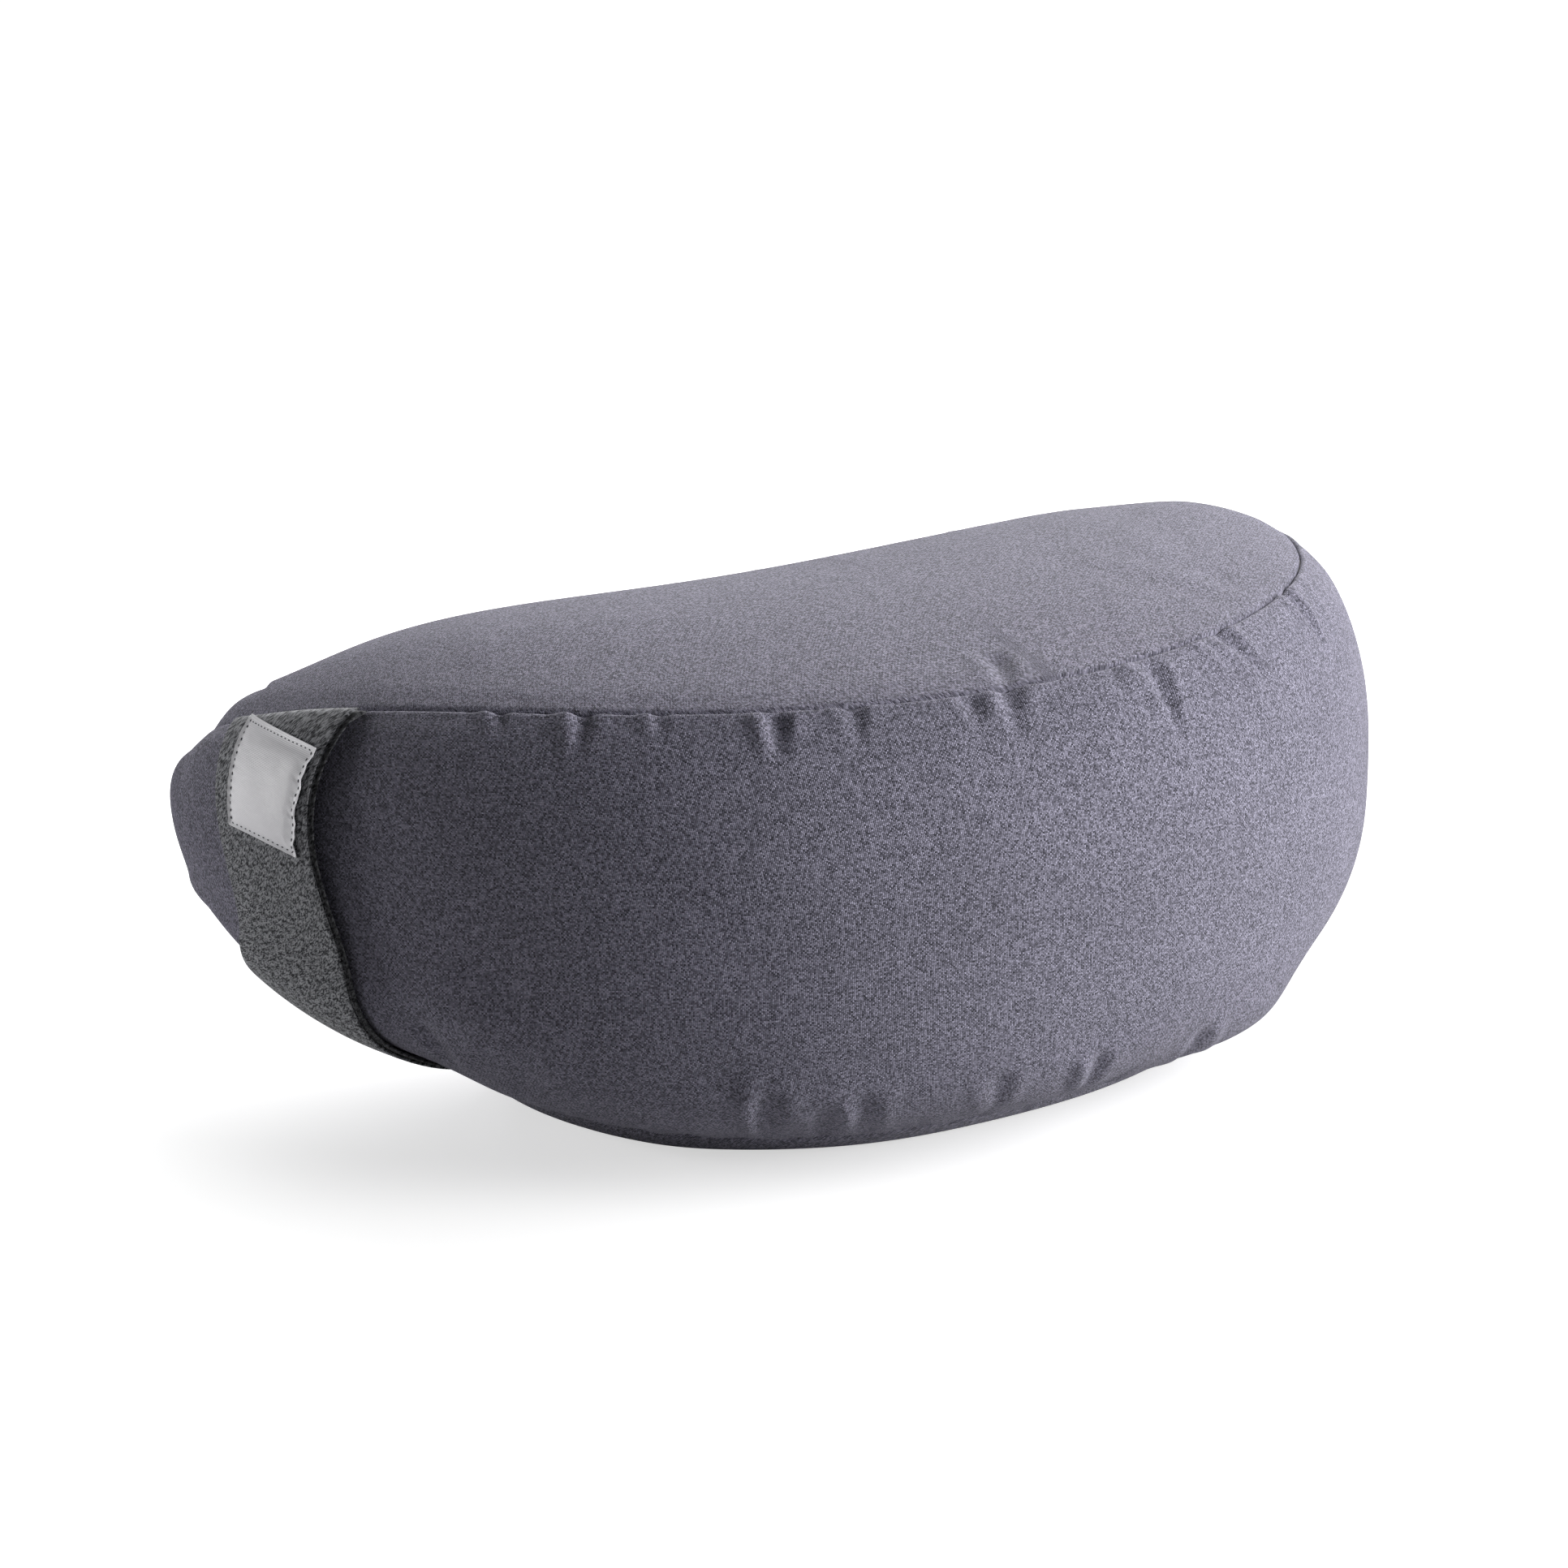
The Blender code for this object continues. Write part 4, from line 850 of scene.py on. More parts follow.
def canvas_look(settings):
    """Heavy plain-weave canvas in melange grey, with painted shade in the hollows of its weave."""
    look = Look("grey_canvas_weave")
    on_top, height, melange, flat = weave_nodes(look, settings.thread_pitch, 1.6)
    spun = look.plus(look.times(melange, settings.melange),
                     look.times(on_top, 1.0 - settings.melange))
    threads = look.mix(spun, settings.light_thread, settings.dark_thread)
    # Painted shade: the canvas colour is darker in the low places of its weave, between the threads.
    cavity_shade = look.ramp(height, 0.0, 0.55, 0.55, 1.06)
    slubs = look.noise(look.place((1050.0, 1480.0, 1.0)), 1.0, 2.0, 0.6)
    slubs = look.ramp(slubs, 0.30, 0.70, 1.0 - settings.slubs, 1.0 + settings.slubs)
    patches = look.ramp(look.noise(flat, 26.0, 3.0), 0.3, 0.7, 0.96, 1.04)
    tone = look.times(cavity_shade, look.times(slubs, patches))
    colour = look.shade(threads, tone)
    fuzz = look.noise(flat, 2600.0, 2.0)
    rise = look.plus(height, look.times(fuzz, 0.35))
    normal = look.bump(rise, 0.00016, 0.9)
    roughness = look.ramp(fuzz, 0.2, 0.8, 0.80, 0.95)
    return look.finish(colour, roughness, normal, Sheen_Weight=0.12, Sheen_Roughness=0.5,
                       Specular_IOR_Level=0.25)


def heather_look(settings):
    """Brushed strap cloth with light and dark flecks, and painted shade along its folded front edge."""
    look = Look("heather_strap_cloth")
    fine = look.noise(look.place((640.0, 1900.0, 1.0), 0.62), 1.0, 2.0, 0.6)
    crossed = look.noise(look.place((1700.0, 700.0, 1.0), -0.35), 1.0, 2.0, 0.6)
    large = look.noise(look.place((340.0, 560.0, 1.0), 0.4), 1.0, 2.0)
    value = look.plus(look.times(fine, 0.55), look.times(crossed, 0.45))
    value = look.plus(value, look.times(look.minus(large, 0.5), 0.35))
    spread = look.ramp(value, 0.40, 0.62)
    # Painted shade: the strap colour darkens to under a third along its folded front edge, so that the rim
    # there does not show lit.
    front_edge_shade = look.ramp(look.parts(look.place())[0], 0.0534, 0.0548, 1.0, 0.30)
    colour = look.shade(look.mix(spread, settings.dark_fleck, settings.light_fleck), front_edge_shade)
    normal = look.bump(value, 0.00045, 0.8)
    return look.finish(colour, 0.93, normal, Sheen_Weight=0.18, Sheen_Roughness=0.4, Specular_IOR_Level=0.2)


def satin_look(settings):
    """Woven satin label, blank, with fine ribs and a soft gloss."""
    look = Look("pale_satin_label")
    ribs = look.add("ShaderNodeTexWave", {"Vector": look.place(), "Scale": 560.0, "Distortion": 0.6,
                                          "Detail": 1.0}, bands_direction="Y")
    crinkle = look.noise(look.place((90.0, 140.0, 1.0)), 1.0, 3.0)
    tone = look.times(look.ramp(ribs, 0.0, 1.0, 0.93, 1.03),
                     look.ramp(crinkle, 0.3, 0.7, 0.97, 1.02))
    normal = look.bump(ribs, 0.00006, 0.5, look.bump(crinkle, 0.0006, 0.5))
    roughness = look.ramp(crinkle, 0.3, 0.7, 0.42, 0.52)
    return look.finish(look.shade(settings.satin[:], tone), roughness, normal, Sheen_Weight=0.1)


def cotton_look(settings):
    """Plain undyed cotton of the inner bag, with painted shade in the hollows of its weave."""
    look = Look("undyed_cotton")
    _, height, melange, _ = weave_nodes(look, 0.00045, 0.6)
    # Painted shade: the cotton colour is darker in the low places of its weave, on top of its random tone
    # from thread to thread.
    tone = look.times(look.ramp(melange, 0.0, 1.0, 0.94, 1.05),
                     look.ramp(height, 0.0, 0.6, 0.80, 1.02))
    colour = look.shade(settings.cotton[:], tone)
    return look.finish(colour, 0.9, look.bump(height, 0.00010, 0.7), Sheen_Weight=0.1)


def hull_look(settings):
    """Loose buckwheat hulls: small brown shells at all angles."""
    look = Look("buckwheat_hull_shells")
    spot = look.place(source="object")
    cells = look.add("ShaderNodeTexVoronoi", {"Vector": spot, "Scale": 1.0 / HULL_SIZE}, feature="F1")
    tone = look.add("ShaderNodeSeparateColor", {0: cells.node.outputs[1]})
    height = look.minus(1.0, cells)
    return look.finish(look.mix(tone, settings.hull_dark, settings.hull_light), 0.62,
                       look.bump(height, 0.0016, 0.9))


def tape_look(settings):
    """Herringbone zip tape."""
    look = Look("grey_zip_tape_weave")
    along, bands = look.parts(look.place())[:2]
    slanted = look.plus(along, look.math("PINGPONG", bands, 0.0012))
    wave = look.math("SINE", look.times(slanted, 2 * math.pi / 0.0007))
    rib = look.times(look.plus(wave, 1.0), 0.5)
    colour = look.mix(rib, settings.tape_dark, settings.tape_light)
    return look.finish(colour, 0.85, look.bump(rib, 0.00012, 0.8))


def nylon_look(settings):
    """Moulded nylon of the tooth rows, with faint flow marks."""
    look = Look("dark_nylon")
    marks = look.noise(look.place(source="object"), 900.0, 2.0)
    colour = look.shade(settings.nylon[:], look.ramp(marks, 0.3, 0.7, 0.85, 1.15))
    return look.finish(colour, look.ramp(marks, 0.3, 0.7, 0.32, 0.45), look.bump(marks, 0.00004, 0.4))


def metal_look(settings):
    """Tumbled nickel of the slider, pull and stops, with fine scratches."""
    look = Look("tumbled_nickel")
    scratches = look.noise(look.place((400.0, 2600.0, 900.0), 0.3, "object"), 1.0, 3.0)
    mottle = look.noise(look.place(source="object"), 380.0, 3.0)
    colour = look.mix(mottle, settings.metal_dark, settings.metal_light)
    roughness = look.ramp(scratches, 0.3, 0.7, 0.24, 0.42)
    return look.finish(colour, roughness, look.bump(scratches, 0.00003, 0.5), Metallic=1.0)


def thread_look(name, colour):
    """Twisted sewing thread."""
    look = Look(name)
    twist = look.add("ShaderNodeTexWave", {"Vector": look.place(source="object"), "Scale": 1400.0,
                                           "Distortion": 2.0}, bands_direction="DIAGONAL")
    shade = look.shade(colour[:], look.ramp(twist, 0.0, 1.0, 0.7, 1.15))
    return look.finish(shade, 0.75, look.bump(twist, 0.00005, 0.6))


class BeadTree(Nodes):
    """A Geometry Nodes tree that lays beads along a line, with named numbers and a material as inputs.

    The line's points carry the cloth's outward direction in 'cloth_out'.
    """

    def __init__(self, name, **numbers):
        super().__init__(bpy.data.node_groups.new(name, "GeometryNodeTree"))
        self.keys = {}
        for label in ("Geometry", *numbers, "Material"):
            kind = {float: "Float", int: "Int"}.get(type(numbers.get(label)), label)
            socket = self.tree.interface.new_socket(label, in_out="INPUT", socket_type="NodeSocket" + kind)
            if label in numbers:
                socket.default_value = numbers[label]
            self.keys[label] = socket.identifier
        self.tree.interface.new_socket("Geometry", in_out="OUTPUT", socket_type="NodeSocketGeometry")
        self.given = self.tree.nodes.new("NodeGroupInput").outputs

    def steps(self, step):
        """Points a step apart on the line, and a turn along it with the cloth's outward side up."""
        line = self.add("GeometryNodeMeshToCurve", {0: self.given["Geometry"]})
        points = self.add("GeometryNodeResampleCurve", {0: line, "Length": step}, mode="LENGTH")
        tangent = self.add("GeometryNodeInputTangent")
        outward = self.add("GeometryNodeInputNamedAttribute", {"Name": "cloth_out"}, data_type="FLOAT_VECTOR")
        turned = self.add("FunctionNodeAlignRotationToVector", {"Vector": tangent}, axis="X")
        return points, self.add("FunctionNodeAlignRotationToVector", {"Rotation": turned, "Vector": outward},
                                axis="Z", pivot_axis="X")

    def end(self, points, bead, turned, size):
        """Lays a bead at each point, makes them real, gives them the material and closes the tree."""
        laid = self.add("GeometryNodeInstanceOnPoints", {0: points, "Instance": bead, "Rotation": turned,
                                                         "Scale": size})
        rounded = self.add("GeometryNodeSetShadeSmooth", {0: laid})
        real = self.add("GeometryNodeRealizeInstances", {0: rounded})
        dressed = self.add("GeometryNodeSetMaterial", {0: real, "Material": self.given["Material"]})
        self.tree.links.new(dressed, self.tree.nodes.new("NodeGroupOutput").inputs[0])
        return self


def grown(name, tree, line, values):
    """Runs a tree on a line, keeps the result as a plain mesh and lets it ride on the cover."""
    carrier = placed(name + "_source", line)
    nodes = carrier.modifiers.new("build", "NODES")
    nodes.node_group = tree.tree
    for label, value in values.items():
        nodes[tree.keys[label]] = value
    depsgraph = bpy.context.evaluated_depsgraph_get()
    mesh = bpy.data.meshes.new_from_object(carrier.evaluated_get(depsgraph))
    mesh.name = name
    bpy.data.objects.remove(carrier)
    if not mesh.polygons:
        raise RuntimeError(f"{name}: the node tree made no faces")
    made = placed(name, mesh)
    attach(made, "cover")
    return made


def stitch_tree():
    """Stitches along a line."""
    tree = BeadTree("stitch row", Stitch=0.0024, Gap=0.0008, Thread=0.0004, Seed=4)
    stitch, gap, thread, seed = (tree.given[label] for label in ("Stitch", "Gap", "Thread", "Seed"))
    points, turned = tree.steps(tree.plus(stitch, gap))
    bead = tree.add("GeometryNodeMeshUVSphere", {"Segments": 6, "Rings": 5, "Radius": 0.5})
    wobble = tree.add("FunctionNodeRandomValue", {2: 0.88, 3: 1.08, "Seed": seed}, out=1, data_type="FLOAT")
    size = tree.add("ShaderNodeCombineXYZ", {0: tree.times(stitch, wobble), 1: thread, 2: thread})
    return tree.end(points, bead, turned, size)


def tooth_tree():
    """Moulded teeth along a line: each one a long bar with rounded ends, slightly leaning."""
    tree = BeadTree("tooth row", Pitch=0.0012, Width=0.0008, Reach=0.0024, Thickness=0.0018, Lean=0.15)
    points, turned = tree.steps(tree.given["Pitch"])
    lean = tree.add("ShaderNodeCombineXYZ", {2: tree.given["Lean"]})
    lean = tree.add("FunctionNodeEulerToRotation", {0: lean})
    turned = tree.add("FunctionNodeRotateRotation", {0: turned, 1: lean}, rotation_space="LOCAL")
    bead = tree.add("GeometryNodeMeshUVSphere", {"Segments": 8, "Rings": 6, "Radius": 0.5})
    x, y, z = tree.parts(tree.add("GeometryNodeInputPosition"))
    away = tree.math("SQRT", tree.plus(tree.times(x, x), tree.times(y, y)))
    fuller = tree.math("SQRT", tree.math("DIVIDE", 0.5, tree.math("MAXIMUM", away, 0.0005)))
    blunt = tree.math("SQRT", tree.times(tree.math("ABSOLUTE", z), 0.5))
    bar = tree.add("ShaderNodeCombineXYZ", {0: tree.times(x, fuller),
                                            1: tree.times(tree.math("SIGN", z), blunt),
                                            2: tree.times(y, fuller)})
    bar = tree.add("GeometryNodeSetPosition", {0: bead, "Position": bar})
    bar = tree.add("GeometryNodeFlipFaces", {0: bar})
    size = tree.add("ShaderNodeCombineXYZ", {0: tree.given["Width"], 1: tree.given["Reach"],
                                             2: tree.given["Thickness"]})
    return tree.end(points, bar, turned, size)


def line_mesh(name, points, outward):
    """A line of points that carries the cloth's outward direction."""
    mesh = bpy.data.meshes.new(name)
    mesh.from_pydata(points.tolist(), [(i, i + 1) for i in range(len(points) - 1)], [])
    directions = mesh.attributes.new("cloth_out", "FLOAT_VECTOR", "POINT").data
    directions.foreach_set("vector", outward.astype(np.float32).ravel())
    return mesh


def strap_edge(height, runs):
    """Run of a strap edge at a height: a smooth curve through its places at STRAP_HEIGHTS."""
    total = 0.0
    for run, own in zip(runs, STRAP_HEIGHTS):
        others = [other for other in STRAP_HEIGHTS if other != own]
        total = total + run * math.prod((height - other) / (own - other) for other in others)
    return total


def strap_place(across, down, depth, inset=0.004):
    """Points of the strap: across from its horn side to its front side, down from the top seam."""
    across, down = np.broadcast_arrays(np.asarray(across, float), np.asarray(down, float))
    height = 1.0 - inset - down * (1.0 - 2.0 * inset)
    horn, front = strap_edge(height, STRAP_HORN_EDGE), strap_edge(height, STRAP_FRONT_EDGE)
    station = -(horn * (1.0 - across) + front * across)
    way = np.clip(down, 0.0, 1.0)
    rise = np.sin(math.pi * way**0.75) * (1.0 - way)**1.5
    stand = STRAP_STAND_OFF * np.clip(across, 0.0, 1.2)**1.3 * rise
    point, out = side_point(station, height), side_out(station, height)
    sunk = np.zeros_like(stand)
    for end, sign in ((1.0, -1.0), (0.0, 1.0)):
        near = np.linalg.norm(point - side_point(station, end), axis=-1)
        sunk = sunk + sign * STRAP_SINK * np.clip(1.0 - near / STRAP_SINK_REACH, 0.0, 1.0)**2
    return swelled(point + out * (2 * CLEAR + stand - depth)[..., None] + UP * sunk[..., None]), out


def strap_flat(across, down):
    """Cloth map of the strap in metres."""
    return np.stack(np.broadcast_arrays(across * STRAP_MAP[0], down * STRAP_MAP[1]), -1)


def strap_ply(name, depth, edges, look):
    """One ply of the strap with rounded long edges."""
    share = (1.0 - np.cos(np.linspace(0.0, math.pi, 61))) / 2
    places = edges[0] + share * (edges[1] - edges[0])
    across, down = np.meshgrid(places, np.linspace(0.0, 1.0, 153), indexing="ij")
    rim = np.clip(np.abs(2.0 * share - 1.0) * 1.04 - 0.04, 0, 1)
    round_off = STRAP_CLOTH * 0.5 * (1.0 - np.sqrt(1.0 - rim**40))
    outer = strap_place(across, down, depth - STRAP_CLOTH + round_off[:, None])[0]
    inner = strap_place(across, down, depth - round_off[:, None])[0]
    return cloth_shell(name, outer, inner, strap_flat(across, down), look)


def label_share(i, j):
    """Place on the strap of a place on the label: i down and j across, with a wavy cut edge."""
    corners = np.array(LABEL_CORNERS)
    i, j = i[..., None], j[..., None]
    start = corners[0] * (1.0 - i) + corners[2] * i
    end = corners[1] * (1.0 - i) + corners[3] * i
    wave = 0.010 * np.sin(i * 19.0 + 0.7) + 0.006 * np.sin(i * 41.0)
    share = start + (end - start) * j
    share[..., :1] += wave * smooth(j, 0.6, 1.0)
    return share


def label_place(i, j, lift):
    share = label_share(i, j)
    return strap_place(share[..., 0], share[..., 1], -(2 * STRAP_CLOTH + 2 * CLEAR) - lift)


def on_zip(angle, offset, depth):
    """Point by its angle along the zip, its height over the centre line and its depth."""
    angle, offset, depth = np.broadcast_arrays(angle, offset, depth)
    radius = ZIP_RADIUS + depth
    return np.stack((radius * np.sin(angle), ZIP_CENTRE_Y - radius * np.cos(angle), ZIP_HEIGHT + offset), -1)


def number_setting(name, description, default, low=0.0, **more):
    return FloatProperty(name=name, description=description, default=default, min=low, **more)


def length_setting(name, description, default, low, high):
    return number_setting(name, description, default, low, max=high, unit="LENGTH", precision=5)


def share_setting(name, description, default, high=1.0):
    return number_setting(name, description, default, max=high, subtype="FACTOR")


def power_setting(name, description, default):
    return number_setting(name, "Power of the " + description, default, unit="POWER")


def angle_setting(name, description, degrees):
    return FloatProperty(name=name, description=description, default=math.radians(degrees), subtype="ANGLE")


def colour_setting(name, description, default):
    return FloatVectorProperty(name=name, description=description, default=default, min=0.0, max=1.0,
                               subtype="COLOR")


class CushionCover(bpy.types.PropertyGroup):
    """Sizes and colours of the canvas cover."""
    seam_radius: length_setting("Seam roll", "Radius of a panel's edge where it rolls into its seam",
                                0.0022, 0.0005, 0.004)
    seam_dip: length_setting("Seam dip", "Depth of the soft dip beside a seam", 0.0010, 0.0, 0.003)
    pucker_count: IntProperty(name="Puckers", description="Small random puckers along the seams",
                              default=150, min=0, max=400)
    pucker_depth: length_setting("Pucker depth", "Depth of the deepest random pucker", 0.0009, 0.0, 0.003)
    seed: IntProperty(name="Seed", description="Seed of the random puckers", default=11, min=0)
    fold_height: length_setting("Fold height", "Height of the simulated folds", 0.0008, 0.0, 0.003)
    pressure: number_setting("Pressure", "Air pressure of the simulated cover", 0.3)
    eased_in: share_setting("Eased in", "How much extra cloth is eased into the simulated seams", 0.3, 0.4)
    stiffness: number_setting("Stiffness", "Bending stiffness of the simulated canvas", 0.8)
    thread_pitch: length_setting("Thread pitch", "Distance between two threads of the canvas",
                                 0.0006, 0.0002, 0.003)
    melange: share_setting("Melange", "How far light and dark fibres are mixed within a thread", 0.78)
    slubs: share_setting("Slubs", "How much short lengths of yarn vary in brightness", 0.34, 0.9)
    light_thread: colour_setting("Light thread", "Colour of the lighter canvas thread", (0.330, 0.317, 0.408))
    dark_thread: colour_setting("Dark thread", "Colour of the darker canvas thread", (0.038, 0.037, 0.051))


class CushionInside(bpy.types.PropertyGroup):
    """Colours of the inner bag and of its filling."""
    cotton: colour_setting("Cotton", "Colour of the inner bag", (0.74, 0.71, 0.64))
    hull_dark: colour_setting("Dark hull", "Darkest colour of the hulls", (0.035, 0.022, 0.016))
    hull_light: colour_setting("Light hull", "Lightest colour of the hulls", (0.16, 0.095, 0.055))


class CushionStrap(bpy.types.PropertyGroup):
    """Colours of the carry strap and its label, and the label's stitches."""
    dark_fleck: colour_setting("Dark fleck", "Darkest colour of the strap cloth", (0.022, 0.023, 0.027))
    light_fleck: colour_setting("Light fleck", "Lightest colour of the strap cloth", (0.400, 0.405, 0.430))
    satin: colour_setting("Satin", "Colour of the blank label", (0.92, 0.91, 0.95))
    label_inset: length_setting("Stitch inset", "Distance from the label's edge to its stitches",
                                0.0016, 0.0005, 0.006)
    label_stitch: length_setting("Stitch length", "Length of a stitch on the label", 0.0012, 0.0004, 0.004)
    thread: colour_setting("Thread", "Colour of the label's thread", (0.10, 0.10, 0.12))


class CushionZip(bpy.types.PropertyGroup):
    """Sizes and colours of the zip."""
    tooth_pitch: length_setting("Tooth pitch", "Distance between two teeth of a row", 0.0012, 0.0008, 0.004)
    stitch: length_setting("Stitch length", "Length of a stitch beside the zip", 0.0026, 0.001, 0.006)
    gap: length_setting("Stitch gap", "Gap between two stitches beside the zip", 0.0007, 0.0002, 0.003)
    worn_edge: length_setting("Worn edge", "Rounding of the metal's edges", 0.00012, 0.0, 0.0005)
    thread: colour_setting("Thread", "Colour of the cover's thread", (0.16, 0.155, 0.185))
    tape_dark: colour_setting("Tape, dark", "Darker colour of the tape's herringbone", (0.055, 0.055, 0.062))
    tape_light: colour_setting("Tape, light", "Lighter colour of the tape's herringbone",
                               (0.12, 0.118, 0.130))
    nylon: colour_setting("Nylon", "Colour of the teeth", (0.085, 0.083, 0.092))
    metal_dark: colour_setting("Metal, dark", "Darker colour of slider and pull", (0.36, 0.35, 0.35))
    metal_light: colour_setting("Metal, light", "Lighter colour of slider and pull", (0.55, 0.54, 0.53))


class CushionStage(bpy.types.PropertyGroup):
    """Floor, lights and camera."""
    floor_size: number_setting("Floor", "Length of the floor's sides", 30.0, 2.0, unit="LENGTH")
    right_power: power_setting("Right light", "soft light on the right", 48.0)
    front_power: power_setting("Front light", "soft light in front", 4.0)
    low_power: power_setting("Low light", "low light on the right", 9.0)
    back_power: power_setting("Back light", "soft light behind on the right", 37.0)
    far_power: power_setting("Far light", "soft light straight behind", 13.0)
    left_power: power_setting("Left light", "small light on the left", 15.5)
    world: number_setting("Room", "Brightness of the room all round", 0.0)
    azimuth: angle_setting("Azimuth", "Direction the camera looks from, 0 from -Y", -29.8345)
    elevation: angle_setting("Elevation", "Height of the camera over the horizon", 19.5061)
    roll: angle_setting("Roll", "Turn of the camera about its own axis", -0.8729)
    distance: number_setting("Distance", "From the camera to the point it looks at", 1.28434, 0.3,
                             unit="LENGTH")
    lens: number_setting("Lens", "Focal length", 75.68, 10.0, unit="CAMERA")


SETTINGS = {"cushion_cover": CushionCover, "cushion_inside": CushionInside, "cushion_strap": CushionStrap,
            "cushion_zip": CushionZip, "cushion_stage": CushionStage}
FORM = {}


def soft_form(context):
    """The cover's small-scale form, made once."""
    if "form" not in FORM:
        settings = context.scene.cushion_cover
        form = SoftForm(settings, None)
        form.fields = Billow(settings, form)
        FORM["form"] = form
    return FORM["form"]


class MakeStage(bpy.types.Operator):
    """Pale floor, soft studio lights, and the camera at the photograph's angle"""
    bl_idname = "cushion.make_stage"
    bl_label = "Make the stage"

    def execute(self, context):
        settings = context.scene.cushion_stage
        scene = context.scene
        scene.view_settings.view_transform = "Standard"
        half = settings.floor_size / 2
        mesh = bpy.data.meshes.new("floor")
        corners = ((-half, -half), (half, -half), (half, half), (-half, half))
        mesh.from_pydata([(x, y, FLOOR_HEIGHT) for x, y in corners], [], [(0, 1, 2, 3)])
        floor = placed("floor", mesh)
        look = Look("pale_floor")
        look.finish((0.70, 0.70, 0.70), 0.9)
        spot = look.add("ShaderNodeTexCoord", out=3)
        reach = look.add("ShaderNodeVectorMath", {0: spot}, 1, operation="LENGTH")
        far = look.ramp(reach, 0.20, 0.56, 0.60, 1.04)
        seen = look.add("ShaderNodeLightPath")
        strength = look.times(seen, far)
        glow = look.add("ShaderNodeEmission", {"Color": (1.0, 1.0, 1.0), "Strength": strength})
        both = look.add("ShaderNodeAddShader", {0: look.shader.outputs[0], 1: glow})
        out = next(n for n in look.tree.nodes if n.type == "OUTPUT_MATERIAL")
        look.tree.links.new(both, out.inputs["Surface"])
        mesh.materials.append(look.material)

        world = bpy.data.worlds.new("white_room")
        world.use_nodes = True
        scene.world = world
        room = Nodes(world.node_tree)
        back = room.tree.nodes["Background"]
        room.feed(back.inputs["Color"], (1.0, 1.0, 1.0))
        room.feed(back.inputs["Strength"], settings.world)
        white = room.add("ShaderNodeBackground", {"Color": (1.0, 1.0, 1.0), "Strength": 1.0})
        rays = room.add("ShaderNodeLightPath").node.outputs
        direct = room.math("MAXIMUM", rays["Is Camera Ray"], rays["Is Transmission Ray"])
        mix = room.add("ShaderNodeMixShader", {0: direct, 1: back.outputs[0], 2: white})
        room.feed(room.tree.nodes["World Output"].inputs["Surface"], mix)

        lamps = (("right_light", settings.right_power, (1.33, -1.17, 1.00), 1.4),
                 ("front_light", settings.front_power, (1.12, -1.42, 0.70), 1.2),
                 ("back_right_light", settings.back_power, (1.21, 1.21, 1.10), 1.2),
                 ("far_light", settings.far_power, (0.17, 1.71, 1.10), 1.2),
                 ("low_right_light", settings.low_power, (1.50, -1.15, 0.30), 0.5),
                 ("left_light", settings.left_power, (-1.55, 1.36, 0.36), 0.7))
        for name, power, place, size in lamps:
            data = bpy.data.lights.new(name, "AREA")
            data.shape = "DISK"
            data.size, data.energy = size, power
            lamp = placed(name, data)
            lamp.visible_camera = False
            lamp.location = place
            aim = Vector(LIGHTS_AIM) - Vector(place)
            lamp.rotation_mode = "QUATERNION"
            lamp.rotation_quaternion = aim.to_track_quat("-Z", "Y")

        a, e = settings.azimuth, settings.elevation
        back = Vector((math.sin(a) * math.cos(e), -math.cos(a) * math.cos(e), math.sin(e)))
        right = Vector((math.cos(a), math.sin(a), 0.0))
        up = back.cross(right)
        look_at = right * VIEW_SHIFT + Vector(VIEW_CENTRE)
        across = right * math.cos(settings.roll) + up * math.sin(settings.roll)
        over = up * math.cos(settings.roll) - right * math.sin(settings.roll)
        data = bpy.data.cameras.new("photograph_view")
        data.lens, data.sensor_width = settings.lens, 36.0
        data.clip_start, data.clip_end = 0.05, 60.0
        camera = placed("photograph_view", data)
        turned = Matrix((across, over, back)).transposed().to_4x4()
        camera.matrix_world = Matrix.Translation(look_at + back * settings.distance) @ turned
        scene.camera = camera
        return {"FINISHED"}


class SewCover(bpy.types.Operator):
    """Canvas cover: top, base, front and the two halves of the hollow side"""
    bl_idname = "cushion.sew_cover"
    bl_label = "Sew the cover"

    def execute(self, context):
        settings = context.scene.cushion_cover
        form = soft_form(context)
        canvas = canvas_look(settings)
        top = crescent_face("cover_top", form.top, 0.0, CANVAS, even_stations(-1.0, 1.0, 288),
                            edge_shares(112, TOP_FACE_WIDTH), canvas)
        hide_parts("top_panel")
        base = crescent_face("cover_base", form.base, 0.0, CANVAS, even_stations(-1.0, 1.0, 160),
                             edge_shares(64, BASE_FACE_WIDTH), canvas)
        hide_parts("base_panel")
        front = side_strip("cover_front", form, even_stations(-1.0, 1.0, 448), even_rows(0.0, 1.0, 140),
                           0.0, CANVAS, canvas)
        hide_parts("front_panel")

        stations = even_stations(1.0, 3.0, 296)
        half = opening_half(stations)
        share = even_rows(WIDEST + 0.04, 1.0, 72, (False, True))
        share = (share - share[0]) / (1.0 - share[0])
        start = share_at(stations, half)[:, None]
        heights = start + (1.0 - start) * share
        upper = side_strip("cover_back_upper", form, stations, heights, 0.0, CANVAS, canvas)
        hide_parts("back_panel_upper")
        share = even_rows(0.0, WIDEST - 0.04, 56, (True, False))
        share = share / share[-1]
        heights = share_at(stations, -half)[:, None] * share
        lower = side_strip("cover_back_lower", form, stations, heights, 0.0, CANVAS, canvas)
        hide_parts("back_panel_lower")
        for made, cut in ((top, TOP_CUT), (base, BASE_CUT), (front, FRONT_CUT),
                          (upper, UPPER_BACK_CUT), (lower, LOWER_BACK_CUT)):
            as_sheet(made, *cut, "stretched", ["hull_filling"])
        return {"FINISHED"}


